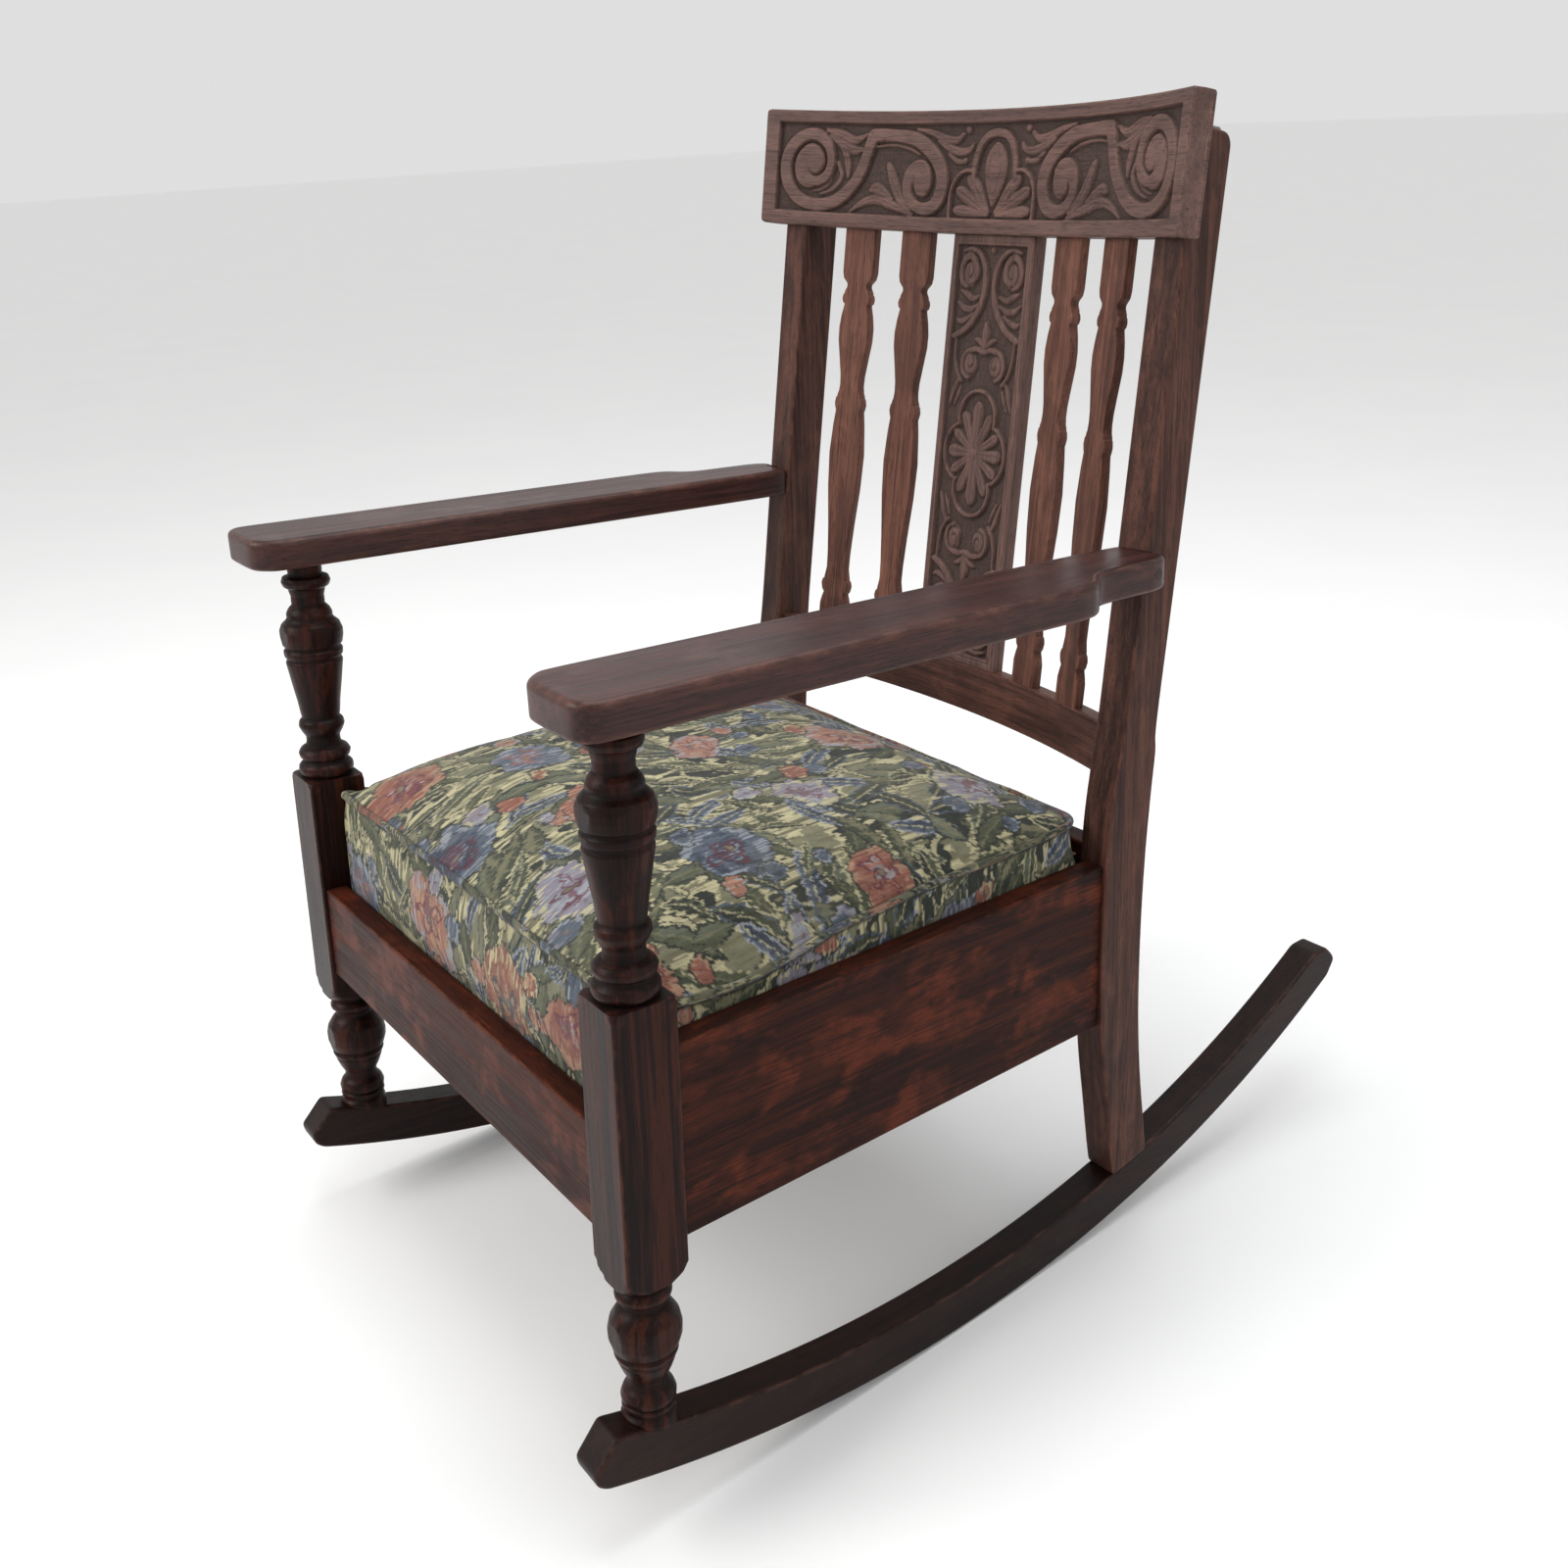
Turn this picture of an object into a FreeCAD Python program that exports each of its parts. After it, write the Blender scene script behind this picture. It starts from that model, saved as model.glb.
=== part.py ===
import FreeCAD, Part
import math
import os

os.makedirs("parts", exist_ok=True)
V = FreeCAD.Vector
doc = FreeCAD.newDocument("rocking_chair")

# ---------------------------------------------------------------- dimensions
# All lengths in mm. The chair is drawn in its own square frame (front posts
# upright, y = 0 on the line between the front posts, x = 0 on the centre line,
# runners touching z = 0) and is then turned back by tilt_deg about the centre
# of the runner arc, which is how it stands when its weight is over the point
# of contact.
sheet = doc.addObject("Spreadsheet::Sheet", "dims")
DIMS = [
    ("tilt_deg", 4.06), ("shift_y", -326.1),
    ("post_half_gap", 284.5), ("post_side", 51.0),
    ("block_top", 427.0), ("block_bottom", 231.0),
    ("arc_y", 257.2), ("arc_r", 1057.2), ("runner_height", 41.5), ("runner_thick", 32.7),
    ("runner_front", -54.0), ("runner_rear", 842.0), ("splay", -0.0476),
    ("rear_half_gap", 261.4), ("rear_wide", 34.6), ("rear_deep", 40.8),
    ("rake_slope", 0.1086), ("back_y", 486.9), ("back_z", 490.6), ("rear_top", 518.0),
    ("side_rail_thick", 22.0), ("side_rail_out_front", 303.5), ("side_rail_out_rear", 273.5),
    ("side_rail_bottom", 229.8), ("side_rail_top", 386.0), ("side_rail_rise", 6.0),
    ("front_rail_thick", 20.0), ("front_rail_face", -21.6), ("front_rail_bottom", 233.5), ("front_rail_top", 321.1),
    ("back_rail_bottom", 300.0), ("back_rail_top", 404.0), ("back_rail_thick", 22.0), ("back_rail_face", 480.0),
    ("arm_thick", 27.3), ("arm_under", 632.5), ("arm_rise", 0.0195), ("arm_out", 340.0), ("arm_in", 250.0),
    ("arm_front", -51.0), ("arm_rear", 513.0),
    ("crest_half", 290.7), ("crest_thick", 25.0), ("crest_low", 431.0), ("crest_high", 542.5), ("crest_sag", 60.0),
    ("low_rail_half", 244.0), ("low_rail_thick", 20.0), ("low_rail_low", -22.7), ("low_rail_high", 23.0), ("low_rail_sag", 36.0),
    ("splat_half", 57.0), ("splat_thick", 17.0), ("slat_thick", 10.0), ("slat_near", 108.0), ("slat_far", 181.0),
    ("tenon_long", 9.0),
    ("cushion_low", 298.0), ("welt_z_front", 409.0), ("welt_z_rear", 420.0), ("crown_z", 466.0),
    ("welt_r", 4.0), ("cover_thick", 1.6),
    ("seat_frame_high", 34.0), ("seat_frame_wide", 30.0), ("webbing_thick", 2.0),
    ("spring_wire", 3.0), ("spring_low_r", 30.0), ("spring_mid_r", 21.0),
    ("cleat_high", 18.0), ("cleat_wide", 16.0), ("dowel_r", 4.0), ("plug_r", 5.0), ("screw_r", 2.2),
]
for i, (name, value) in enumerate(DIMS):
    sheet.set("A%d" % (i + 1), name)
    sheet.set("B%d" % (i + 1), str(value))
    sheet.setAlias("B%d" % (i + 1), name)
doc.recompute()


def D(name):
    return float(getattr(sheet, name))


shift_y = D("shift_y")
arc_y, arc_r = D("arc_y"), D("arc_r")
tilt = D("tilt_deg")
# one placement carries every piece from the square frame to the standing frame
TURN = FreeCAD.Placement(V(0, shift_y, 0), FreeCAD.Rotation(V(1, 0, 0), -tilt), V(0, arc_y, arc_r))
made = []


def node(label, shape, solids=1):
    """A finished piece as a document object in the standing frame."""
    if solids == 1 and shape.ShapeType != "Solid":
        got = shape.Solids
        if len(got) != 1:
            raise RuntimeError("%s has %d solids" % (label, len(got)))
        shape = got[0]
    ob = doc.addObject("Part::Feature", label)
    ob.Shape = shape
    ob.Placement = TURN.multiply(shape.Placement)
    ob.Label = label
    made.append(ob)
    return ob


def bound(kind, label, **expressions):
    ob = doc.addObject(kind, label)
    ob.Label = label
    for prop, text in expressions.items():
        ob.setExpression(prop, text)
    doc.recompute()
    return ob


def poly(points):
    pts = [V(*p) for p in points]
    return Part.makePolygon(pts + [pts[0]])


def prism(points, direction):
    return Part.Face(poly(points)).extrude(V(*direction))


def mirror(shape):
    return shape.mirror(V(0, 0, 0), V(1, 0, 0))


def spline_wire(points, start=None):
    c = Part.BSplineCurve()
    c.interpolate([V(*p) for p in points])
    return c.toShape()


# ------------------------------------------------------------ front posts
a, s = D("post_half_gap"), D("post_side")
h = s / 2
zt, zb = D("block_top"), D("block_bottom")
# turned outline from the arm down to the square block, then below it
UP = [(632.0, 15.0), (618.5, 15.0), (618.0, 20.0), (613.5, 21.5), (609.5, 20.0), (607.0, 16.5), (600.0, 14.6), (592.0, 14.8),
      (588.0, 18.2), (584.0, 20.0), (580.0, 20.2), (577.5, 21.6), (574.0, 25.4), (568.0, 27.7), (562.0, 27.6), (555.0, 26.2),
      (553.0, 24.6), (551.0, 24.6), (549.0, 26.0), (544.5, 25.6), (542.5, 24.2), (540.5, 24.2), (538.0, 25.0), (520.0, 22.2),
      (500.0, 18.9), (484.0, 17.0), (481.0, 19.6), (476.5, 20.4), (472.0, 18.6), (466.0, 15.4), (462.0, 15.2), (457.5, 16.2),
      (454.5, 21.0), (450.5, 23.2), (446.5, 22.4), (444.0, 20.2), (441.5, 21.0), (438.0, 24.0), (434.0, 24.6), (430.5, 23.6), (429.0, 21.0), (zt, 21.0)]
DOWN = [(214.0, 20.0), (209.0, 19.0), (206.5, 17.2), (203.5, 19.4), (200.5, 21.4), (197.0, 21.2), (195.0, 18.6), (193.0, 17.2), (189.0, 17.2),
        (184.5, 21.4), (177.0, 26.0), (169.0, 27.7), (160.0, 27.4), (150.0, 25.0), (148.0, 23.2), (146.0, 23.2), (144.0, 24.2),
        (141.0, 23.0), (139.0, 21.6), (137.0, 21.6), (130.0, 19.0), (123.0, 15.6), (119.0, 15.0), (115.5, 16.0), (111.5, 19.2),
        (106.0, 21.0), (101.0, 20.6), (98.5, 18.8), (96.0, 20.4), (92.5, 20.6), (90.5, 18.4), (86.5, 18.6), (80.0, 20.6), (70.0, 21.6)]


def revolve(outline):
    top, low = outline[0][0], outline[-1][0]
    pts = [(0, 0, top)] + [(r, 0, z) for z, r in outline] + [(0, 0, low)]
    return Part.Face(poly(pts)).revolve(V(0, 0, 0), V(0, 0, 1), 360)


block = Part.makeBox(s, s, zt - 209.0, V(-h, -h, 209.0))
# corners of the block are cut to a rounded foot and lightly cut at the top
foot = Part.Face(poly([(0, 0, zt + 1), (h * 1.30, 0, zt + 1), (h * 1.45, 0, zt - 6), (h * 1.45, 0, zb + 4), (h * 1.40, 0, zb - 4),
                       (h * 1.26, 0, zb - 12), (h * 1.06, 0, zb - 18), (20.0, 0, 209.0), (0, 0, 209.0)])).revolve(V(0, 0, 0), V(0, 0, 1), 360)
block = block.common(foot)
front_post = revolve(UP).fuse(block).fuse(revolve(DOWN)).removeSplitter()
# round tenon into the arm and dowel end into the runner
front_post = front_post.fuse(Part.makeCylinder(11.0, 16.0, V(0, 0, 630.0))).fuse(Part.makeCylinder(10.0, 22.0, V(0, 0, 50.0))).removeSplitter()
post_left = front_post.copy()
post_left.translate(V(a, 0, 0))
post_right = mirror(post_left)

# ------------------------------------------------------------ runners
R0, hr, tk, splay = arc_r, D("runner_height"), D("runner_thick"), D("splay")


def arc_z(y, r):
    return arc_r - math.sqrt(r * r - (y - arc_y) ** 2)


def arc_edge(r, y0, y1):
    ym = (y0 + y1) / 2
    return Part.Arc(V(0, y0, arc_z(y0, r)), V(0, ym, arc_z(ym, r)), V(0, y1, arc_z(y1, r))).toShape()


r_top = R0 - hr
yf, yr = D("runner_front"), D("runner_rear")
bottom = arc_edge(R0, yf + 6, yr - 10)
top = arc_edge(r_top, -38.0, 806.0)
P = [bottom.Vertexes[-1].Point, V(0, yr, arc_z(yr - 10, R0) + 16), V(0, yr - 4, arc_z(yr, R0) + 16), V(0, yr - 16, arc_z(yr, R0) + 27), top.Vertexes[-1].Point]
Q = [top.Vertexes[0].Point, V(0, yf + 1.5, arc_z(-38, r_top) - 17.5), V(0, yf - 4, arc_z(yf, R0) + 15), V(0, yf - 1.5, arc_z(yf, R0) + 4), bottom.Vertexes[0].Point]
edges = [bottom] + [Part.makeLine(P[i], P[i + 1]) for i in range(4)] + [top] + [Part.makeLine(Q[i], Q[i + 1]) for i in range(4)]
wire = Part.Wire(Part.__sortEdges__(edges))
runner = Part.Face(wire).extrude(V(tk, 0, 0))
# the runners come closer together towards the back
m = FreeCAD.Matrix()
m.A12 = splay
m.A14 = a + 1.4 - tk / 2
runner = runner.transformGeometry(m)
runner_left = runner.cut(post_left)

# ------------------------------------------------------------ rear posts
b, w, dp = D("rear_half_gap"), D("rear_wide"), D("rear_deep")
k, by, bz = D("rake_slope"), D("back_y"), D("back_z")
rho = math.atan(k)
BACK = FreeCAD.Placement(V(0, by, bz), FreeCAD.Rotation(V(1, 0, 0), -math.degrees(rho)))


def back(shape):
    """Carry a shape from the raked back frame (x across, y through, z up the rake)."""
    out = shape.copy()
    out.Placement = BACK.multiply(out.Placement)
    return out


def pt_back(y, z):
    p = BACK.multVec(V(0, y, z))
    return (p.y, p.z)


up_front = [pt_back(0, z) for z in (30.0, 150.0, 330.0, D("rear_top") - 14)]
up_back = [pt_back(dp, z) for z in (30.0, 150.0, 330.0, D("rear_top") - 9)]
front_line = [(503.0, 64.0), (498.0, 90.0), (489.5, 145.0), (480.5, 205.0), (476.0, 262.0), (474.8, 330.0), (475.2, 385.0), (477.5, 430.0), (482.5, 470.0)] + up_front
back_line = [(549.0, 60.0), (541.5, 110.0), (532.5, 170.0), (526.5, 230.0), (524.0, 290.0), (523.6, 345.0), (525.0, 400.0), (528.0, 450.0), (531.0, 490.0)] + up_back
ft = pt_back(4.0, D("rear_top") - 3)
fm = pt_back(dp / 2 - 2, D("rear_top"))
fe = pt_back(dp - 5, D("rear_top") - 2)
e1 = spline_wire([(0, y, z) for y, z in front_line])
e2 = spline_wire([(0, y, z) for y, z in back_line])
tip = [front_line[-1], ft, fm, fe, back_line[-1]]
e3 = [Part.makeLine(V(0, *tip[i]), V(0, *tip[i + 1])) for i in range(4)]
e4 = Part.makeLine(V(0, *front_line[0]), V(0, *back_line[0]))
rear = Part.Face(Part.Wire(Part.__sortEdges__([e1, e2, e4] + e3))).extrude(V(w, 0, 0))
rear.translate(V(b - w / 2, 0, 0))
rear_left = rear.cut(runner)
# keep the leg above the runner only, with a dowel end down into it
rear_left = [x for x in rear_left.Solids if x.BoundBox.ZMax > 500][0]
dow = Part.makeCylinder(9.0, 40.0, V(b, 524.0, 52.0))
rear_left = rear_left.fuse(dow).removeSplitter()
runner_left = runner_left.cut(dow)

# ------------------------------------------------------------ crest and lower back rail
ten = D("tenon_long")


def bowed(half, y_end, thick, sag, z0, z1):
    """A board bent to an arc across the back, hollow side to the front."""
    r = (half * half + sag * sag) / (2 * sag)
    yc = y_end + sag - r
    ang = math.degrees(math.asin(half / r))
    outer = Part.makeCylinder(r + thick, z1 - z0, V(0, yc, z0), V(0, 0, 1), 360)
    inner = Part.makeCylinder(r, z1 - z0 + 2, V(0, yc, z0 - 1), V(0, 0, 1), 360)
    keep = Part.makeBox(2 * half, sag + thick + 60, z1 - z0 + 2, V(-half, y_end - 25, z0 - 1))
    return outer.cut(inner).common(keep)


ch, ct, cs = D("crest_half"), D("crest_thick"), D("crest_sag")
crest_l = bowed(ch, -ct, ct, cs, D("crest_low"), D("crest_high"))
lh, lt, ls = D("low_rail_half"), D("low_rail_thick"), D("low_rail_sag")
sag_ext = ls * ((lh + ten) / lh) ** 2
low_l = bowed(lh + ten, 6.0 + ls - sag_ext, lt, sag_ext, D("low_rail_low"), D("low_rail_high"))

# ------------------------------------------------------------ splat and slats
sp, st = D("splat_half"), D("splat_thick")
splat_l = Part.makeBox(2 * sp, st, D("crest_low") - D("low_rail_high") + 2 * ten, V(-sp, 42.5, D("low_rail_high") - ten))
# border rim left standing round the carved field is a shallow sunk panel
field = Part.makeBox(2 * sp - 10, 2.0, D("crest_low") - D("low_rail_high") - 14, V(-sp + 5, 42.4, D("low_rail_high") + 7))
splat_l = splat_l.cut(field)

SLAT = [(431, 19.5), (388, 19.5), (382, 18), (377, 13), (374, 12.6), (370.5, 14.5), (369, 15.5), (367, 15.5), (366, 17), (362, 18), (358, 17),
        (356.5, 14.5), (345, 17.5), (333, 19.3), (320, 19), (300, 15.5), (285, 13), (275, 12.5), (268, 13.5), (265, 15), (263, 15), (262, 16.5),
        (256, 17.7), (251, 16.5), (249, 15.5), (235, 17.5), (205, 20), (170, 18.5), (130, 14.5), (100, 12.2), (84, 11.8), (78, 13), (74, 14),
        (72, 14), (71, 16), (66, 17.5), (60, 16), (57, 13.5), (52, 15.5), (45, 17.5), (23, 17.5)]
sth = D("slat_thick")


def slat(x):
    right = [(u, 0, z) for z, u in SLAT]
    left = [(-u, 0, z) for z, u in reversed(SLAT)]
    body = prism(right + left, (0, sth, 0))
    for z0 in (D("crest_low") - 1, D("low_rail_high") - ten):
        body = body.fuse(Part.makeBox(26.0, 7.0, ten + 1, V(-13.0, 1.5, z0)))
    body = body.removeSplitter()
    r = (ch * ch + cs * cs) / (2 * cs)
    turn = math.degrees(math.asin(x / r))
    y_mid = 42.0 if abs(x) < 140 else 28.0
    body.translate(V(0, -sth / 2, 0))
    # the face turns towards the sitter, square to the bent rails
    body.rotate(V(0, 0, 0), V(0, 0, 1), -turn)
    body.translate(V(x, y_mid, 0))
    return body


xs = [("slat_outer_left", D("slat_far")), ("slat_inner_left", D("slat_near")), ("slat_inner_right", -D("slat_near")), ("slat_outer_right", -D("slat_far"))]
slats_l = [(n, slat(x)) for n, x in xs]
for n, body in slats_l:
    crest_l = crest_l.cut(body)
    low_l = low_l.cut(body)
crest_l = crest_l.cut(splat_l)
low_l = low_l.cut(splat_l)
crest, low_rail, splat = back(crest_l), back(low_l), back(splat_l)
rear_left = rear_left.cut(crest).cut(low_rail)
# the crest laps over the front of each post and is held by screws from behind

# ------------------------------------------------------------ arms
at, au, ai, ao = D("arm_thick"), D("arm_under"), D("arm_in"), D("arm_out")
af, ar = D("arm_front"), D("arm_rear")
nose = [(ai + 1.5, af + 26), (ai + 5.5, af + 12), (ai + 15, af + 3), (ai + 28, af), (ao - 18, af), (ao - 6, af + 3.5), (ao + 0.5, af + 12), (ao + 1.5, af + 26)]
side = [(ao, 30.0), (ao - 4, 200.0), (ao - 9, 385.0)]
ogee = [(ao - 11, 398.0), (ao - 17, 408.0), (ao - 26, 416.0), (ao - 32, 426.0), (ao - 34, 440.0)]
tail = [(ao - 36, 490.0), (ao - 39, 503.0), (ao - 46, ar), (b - w / 2 + 4, ar), (ai - 6, ar - 6), (ai - 6, 430.0)]
outline = nose + side + ogee + tail
arm = prism([(x, y, 0) for x, y in outline], (0, 0, at))
round_edges = [e for e in arm.Edges if abs(e.BoundBox.ZMin - at) < 0.01 and abs(e.BoundBox.ZMax - at) < 0.01 and e.BoundBox.XMax > ai + 0.5]
try:
    arm = arm.makeFillet(3.0, round_edges)
except Exception:
    pass
arm.rotate(V(0, 0, 0), V(1, 0, 0), math.degrees(math.atan(D("arm_rise"))))
arm.translate(V(0, 0, au))
arm_left = arm.cut(post_left).cut(rear_left)
got = sorted(arm_left.Solids, key=lambda x: -x.Volume)
arm_left = got[0]

# ------------------------------------------------------------ seat rails
sf, sr, stk = D("side_rail_out_front"), D("side_rail_out_rear"), D("side_rail_thick")
zb0, zt0, rise = D("side_rail_bottom"), D("side_rail_top"), D("side_rail_rise")
y0, y1 = h, 477.0
plan = lambda y, off: sf + (sr - sf) * (y - y0) / (475.0 - y0) - off
base_pts = [(plan(y0 - 12, 0), y0 - 12, 0), (plan(y1 + 8, 0), y1 + 8, 0), (plan(y1 + 8, stk), y1 + 8, 0), (plan(y0 - 12, stk), y0 - 12, 0)]
slab = prism(base_pts, (0, 0, 700))
profile = prism([(0, y0 - 12, zb0 + 8), (0, y0 - 12, zt0 - 8), (0, y0 - 0.01, zt0 - 8), (0, y0 - 0.01, zt0), (0, y1, zt0 + rise), (0, y1, zt0 + rise - 8), (0, y1 + 8, zt0 + rise - 8),
                 (0, y1 + 8, zb0 + rise + 8), (0, y1, zb0 + rise + 8), (0, y1, zb0 + rise), (0, y0 - 0.01, zb0), (0, y0 - 0.01, zb0 + 8)], (400, 0, 0))
side_rail = slab.common(profile)
# the front shoulder stops on the post and only the tenon goes in; the back end is let into the rear post
side_left = side_rail
post_left = post_left.cut(side_left)
rear_left = rear_left.cut(side_left)
post_left = sorted(post_left.Solids, key=lambda x: -x.Volume)[0]
rear_left = sorted(rear_left.Solids, key=lambda x: -x.Volume)[0]

ff, fth = D("front_rail_face"), D("front_rail_thick")
front_rail = Part.makeBox(2 * (a - h), fth, D("front_rail_top") - D("front_rail_bottom"), V(-(a - h), ff, D("front_rail_bottom")))
front_rail = front_rail.fuse(Part.makeBox(2 * (a - h) + 24, fth - 8, D("front_rail_top") - D("front_rail_bottom") - 16, V(-(a - h) - 12, ff + 4, D("front_rail_bottom") + 8))).removeSplitter()
post_left = post_left.cut(front_rail)
rf, rth = D("back_rail_face"), D("back_rail_thick")
back_rail = Part.makeBox(2 * (b - w / 2), rth, D("back_rail_top") - D("back_rail_bottom"), V(-(b - w / 2), rf, D("back_rail_bottom")))
back_rail = back_rail.fuse(Part.makeBox(2 * (b - w / 2) + 20, rth - 10, D("back_rail_top") - D("back_rail_bottom") - 20, V(-(b - w / 2) - 10, rf + 5, D("back_rail_bottom") + 10))).removeSplitter()
rear_left = rear_left.cut(back_rail)
rear_left = sorted(rear_left.Solids, key=lambda x: -x.Volume)[0]
side_left = side_left.cut(back_rail).cut(front_rail)

# ------------------------------------------------------------ cleats and corner blocks
cl, cw, chh = D("cushion_low"), D("cleat_wide"), D("cleat_high")
cz = cl - 0.3 - chh
in_f = lambda y: plan(y, stk)
cleat_side = prism([(in_f(60), 60, cz), (in_f(440), 440, cz), (in_f(440) - cw, 440, cz), (in_f(60) - cw, 60, cz)], (0, 0, chh))
cleat_front = Part.makeBox(420, cw, chh, V(-210, ff + fth, cz))
cleat_back = Part.makeBox(400, cw, chh, V(-200, rf - cw, cz + 22))
cleat_back = Part.makeBox(400, rf - (rf - cw), chh, V(-200, rf - cw, cz)).fuse(Part.makeBox(400, 4.0, 24.0, V(-200, rf - 4.0, cz + chh - 2))).removeSplitter()
blk = prism([(in_f(34), 34, cz), (in_f(58), 58, cz), (225.0, ff + fth, cz), (a - h, ff + fth, cz), (a - h, h, cz), (in_f(h) + 0.0, h, cz)], (0, 0, chh))
blk_back = prism([(in_f(442), 442, cz), (in_f(472), 472, cz), (b - w / 2 - 1, 472, cz), (b - w / 2 - 1, rf - 1, cz), (204.0, rf - 1, cz)], (0, 0, chh))
for piece in (post_left, side_left, front_rail, cleat_side, cleat_front):
    blk = blk.cut(piece)
for piece in (rear_left, side_left, back_rail, cleat_side, cleat_back):
    blk_back = blk_back.cut(piece)
blk = sorted(blk.Solids, key=lambda x: -x.Volume)[0]
blk_back = sorted(blk_back.Solids, key=lambda x: -x.Volume)[0]
blocks = Part.makeCompound([blk, mirror(blk), blk_back, mirror(blk_back)])

# ------------------------------------------------------------ sprung drop-in seat
gap = 1.2


def seat_plan(off):
    """Outline of the seat seen from above, drawn in by off from the room inside the rails."""
    g = gap + off
    return [(-(a - h) + g, 0.2 + off), (a - h - g, 0.2 + off), (a - h - g, h + gap + off), (in_f(h + 1) - g, h + gap + off), (in_f(468) - g, 469.0 - off),
            (-in_f(468) + g, 469.0 - off), (-in_f(h + 1) + g, h + gap + off), (-(a - h) + g, h + gap + off)]


wf, wr, cr = D("welt_z_front"), D("welt_z_rear"), D("crown_z")


def crown(drop):
    """Space under the crowned top of the seat."""
    xz = [(-300, 0, 200.0), (300, 0, 200.0), (300, 0, wf - drop - 4), (262, 0, wf + 14 - drop), (200, 0, cr - 12 - drop), (110, 0, cr - 2 - drop), (0, 0, cr + 2 - drop),
          (-110, 0, cr - 2 - drop), (-200, 0, cr - 12 - drop), (-262, 0, wf + 14 - drop), (-300, 0, wf - drop - 4)]
    yz = [(0, -20, 200.0), (0, 500, 200.0), (0, 500, wr - drop + 2), (0, 450, wr + 16 - drop), (0, 380, cr - 6 - drop), (0, 240, cr + 1 - drop), (0, 110, cr - 6 - drop), (0, 40, wf + 26 - drop),
          (0, 6, wf + 4 - drop), (0, -20, wf - 2 - drop)]
    p1 = prism([(x, -40, z) for x, _, z in xz], (0, 600, 0))
    p2 = prism([(-310, y, z) for _, y, z in yz], (620, 0, 0))
    return p1.common(p2)


tc = D("cover_thick")
outer = prism([(x, y, cl) for x, y in seat_plan(0)], (0, 0, 250)).common(crown(0))
inner = prism([(x, y, cl - 5) for x, y in seat_plan(tc)], (0, 0, 250)).common(crown(tc))
cover = outer.cut(inner)
# seat frame
fh, fw = D("seat_frame_high"), D("seat_frame_wide")
ring_out = prism([(x, y, cl) for x, y in seat_plan(tc + 0.4)], (0, 0, fh))
ring_in = prism([(x, y, cl - 1) for x, y in [(-225, 32), (225, 32), (214, 438), (-214, 438)]], (0, 0, fh + 2))
frame = ring_out.cut(ring_in)
f_front = frame.common(Part.makeBox(600, 32, fh + 2, V(-300, 0, cl - 1)))
f_back = frame.common(Part.makeBox(600, 60, fh + 2, V(-300, 438, cl - 1)))
f_left = frame.common(Part.makeBox(300, 406, fh + 2, V(0, 32, cl - 1)))
f_right = frame.common(Part.makeBox(300, 406, fh + 2, V(-300, 32, cl - 1)))
# webbing: lengthwise straps, then crosswise straps over them
wt = D("webbing_thick")
long_straps = [Part.makeBox(50, 449, wt, V(x - 25, 10.5, cl + fh + 0.1)) for x in (-145, 0, 145)]
cross_straps = [Part.makeBox(452, 50, wt, V(-226, y - 25, cl + fh + wt + 0.15)) for y in (100, 235, 370)]
spring_z0 = cl + fh + 2 * wt + 0.2
spring_z1 = 398.0
# double-cone coil springs, one on each crossing of the webbing
sw, slr, smr = D("spring_wire"), D("spring_low_r"), D("spring_mid_r")


def spring(x, y):
    turns, n = 4, 15
    zlo, zhi = spring_z0 + sw / 2 + 0.15, spring_z1 - sw / 2 - 0.3
    pts = []
    for i in range(turns * n + 1):
        t = i / float(turns * n)
        ang = 2 * math.pi * turns * t
        rad = smr + (slr - smr) * abs(2 * t - 1) ** 1.4
        pts.append(V(x + rad * math.cos(ang), y + rad * math.sin(ang), zlo + (zhi - zlo) * t))
    c = Part.BSplineCurve()
    c.interpolate(pts)
    e = c.toShape()
    tan = e.tangentAt(e.FirstParameter)
    prof = Part.Wire([Part.makeCircle(sw / 2, pts[0], tan)])
    sweep = Part.BRepOffsetAPI.MakePipeShell(Part.Wire([e]))
    sweep.setFrenetMode(False)
    sweep.add(prof)
    sweep.build()
    sweep.makeSolid()
    return sweep.shape()


springs = [spring(x, y) for x in (-145, 0, 145) for y in (100, 235, 370)]
# burlap sheet over the springs, then the stuffing pad
burlap = prism([(x, y, spring_z1) for x, y in seat_plan(tc + 1.0)], (0, 0, 1.0))
pad = prism([(x, y, spring_z1 + 1.1) for x, y in seat_plan(tc + 0.4)], (0, 0, 250)).common(crown(tc + 0.4))
# welt cord sewn round the edge where the top meets the boxing
wrr = D("welt_r")
rim = seat_plan(-0.2)


def welt_z(x, y):
    return wf + (wr - wf) * y / 469.0


path_pts = [V(x, y, welt_z(x, y)) for x, y in rim]
path = Part.makePolygon(path_pts + [path_pts[0]])
ws = []
for i in range(len(path_pts)):
    p, q2 = path_pts[i], path_pts[(i + 1) % len(path_pts)]
    d = q2.sub(p)
    ws.append(Part.makeCylinder(wrr, d.Length, p, d))
    ws.append(Part.makeSphere(wrr, p))
welt = ws[0]
for x in ws[1:]:
    welt = welt.fuse(x)
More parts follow.
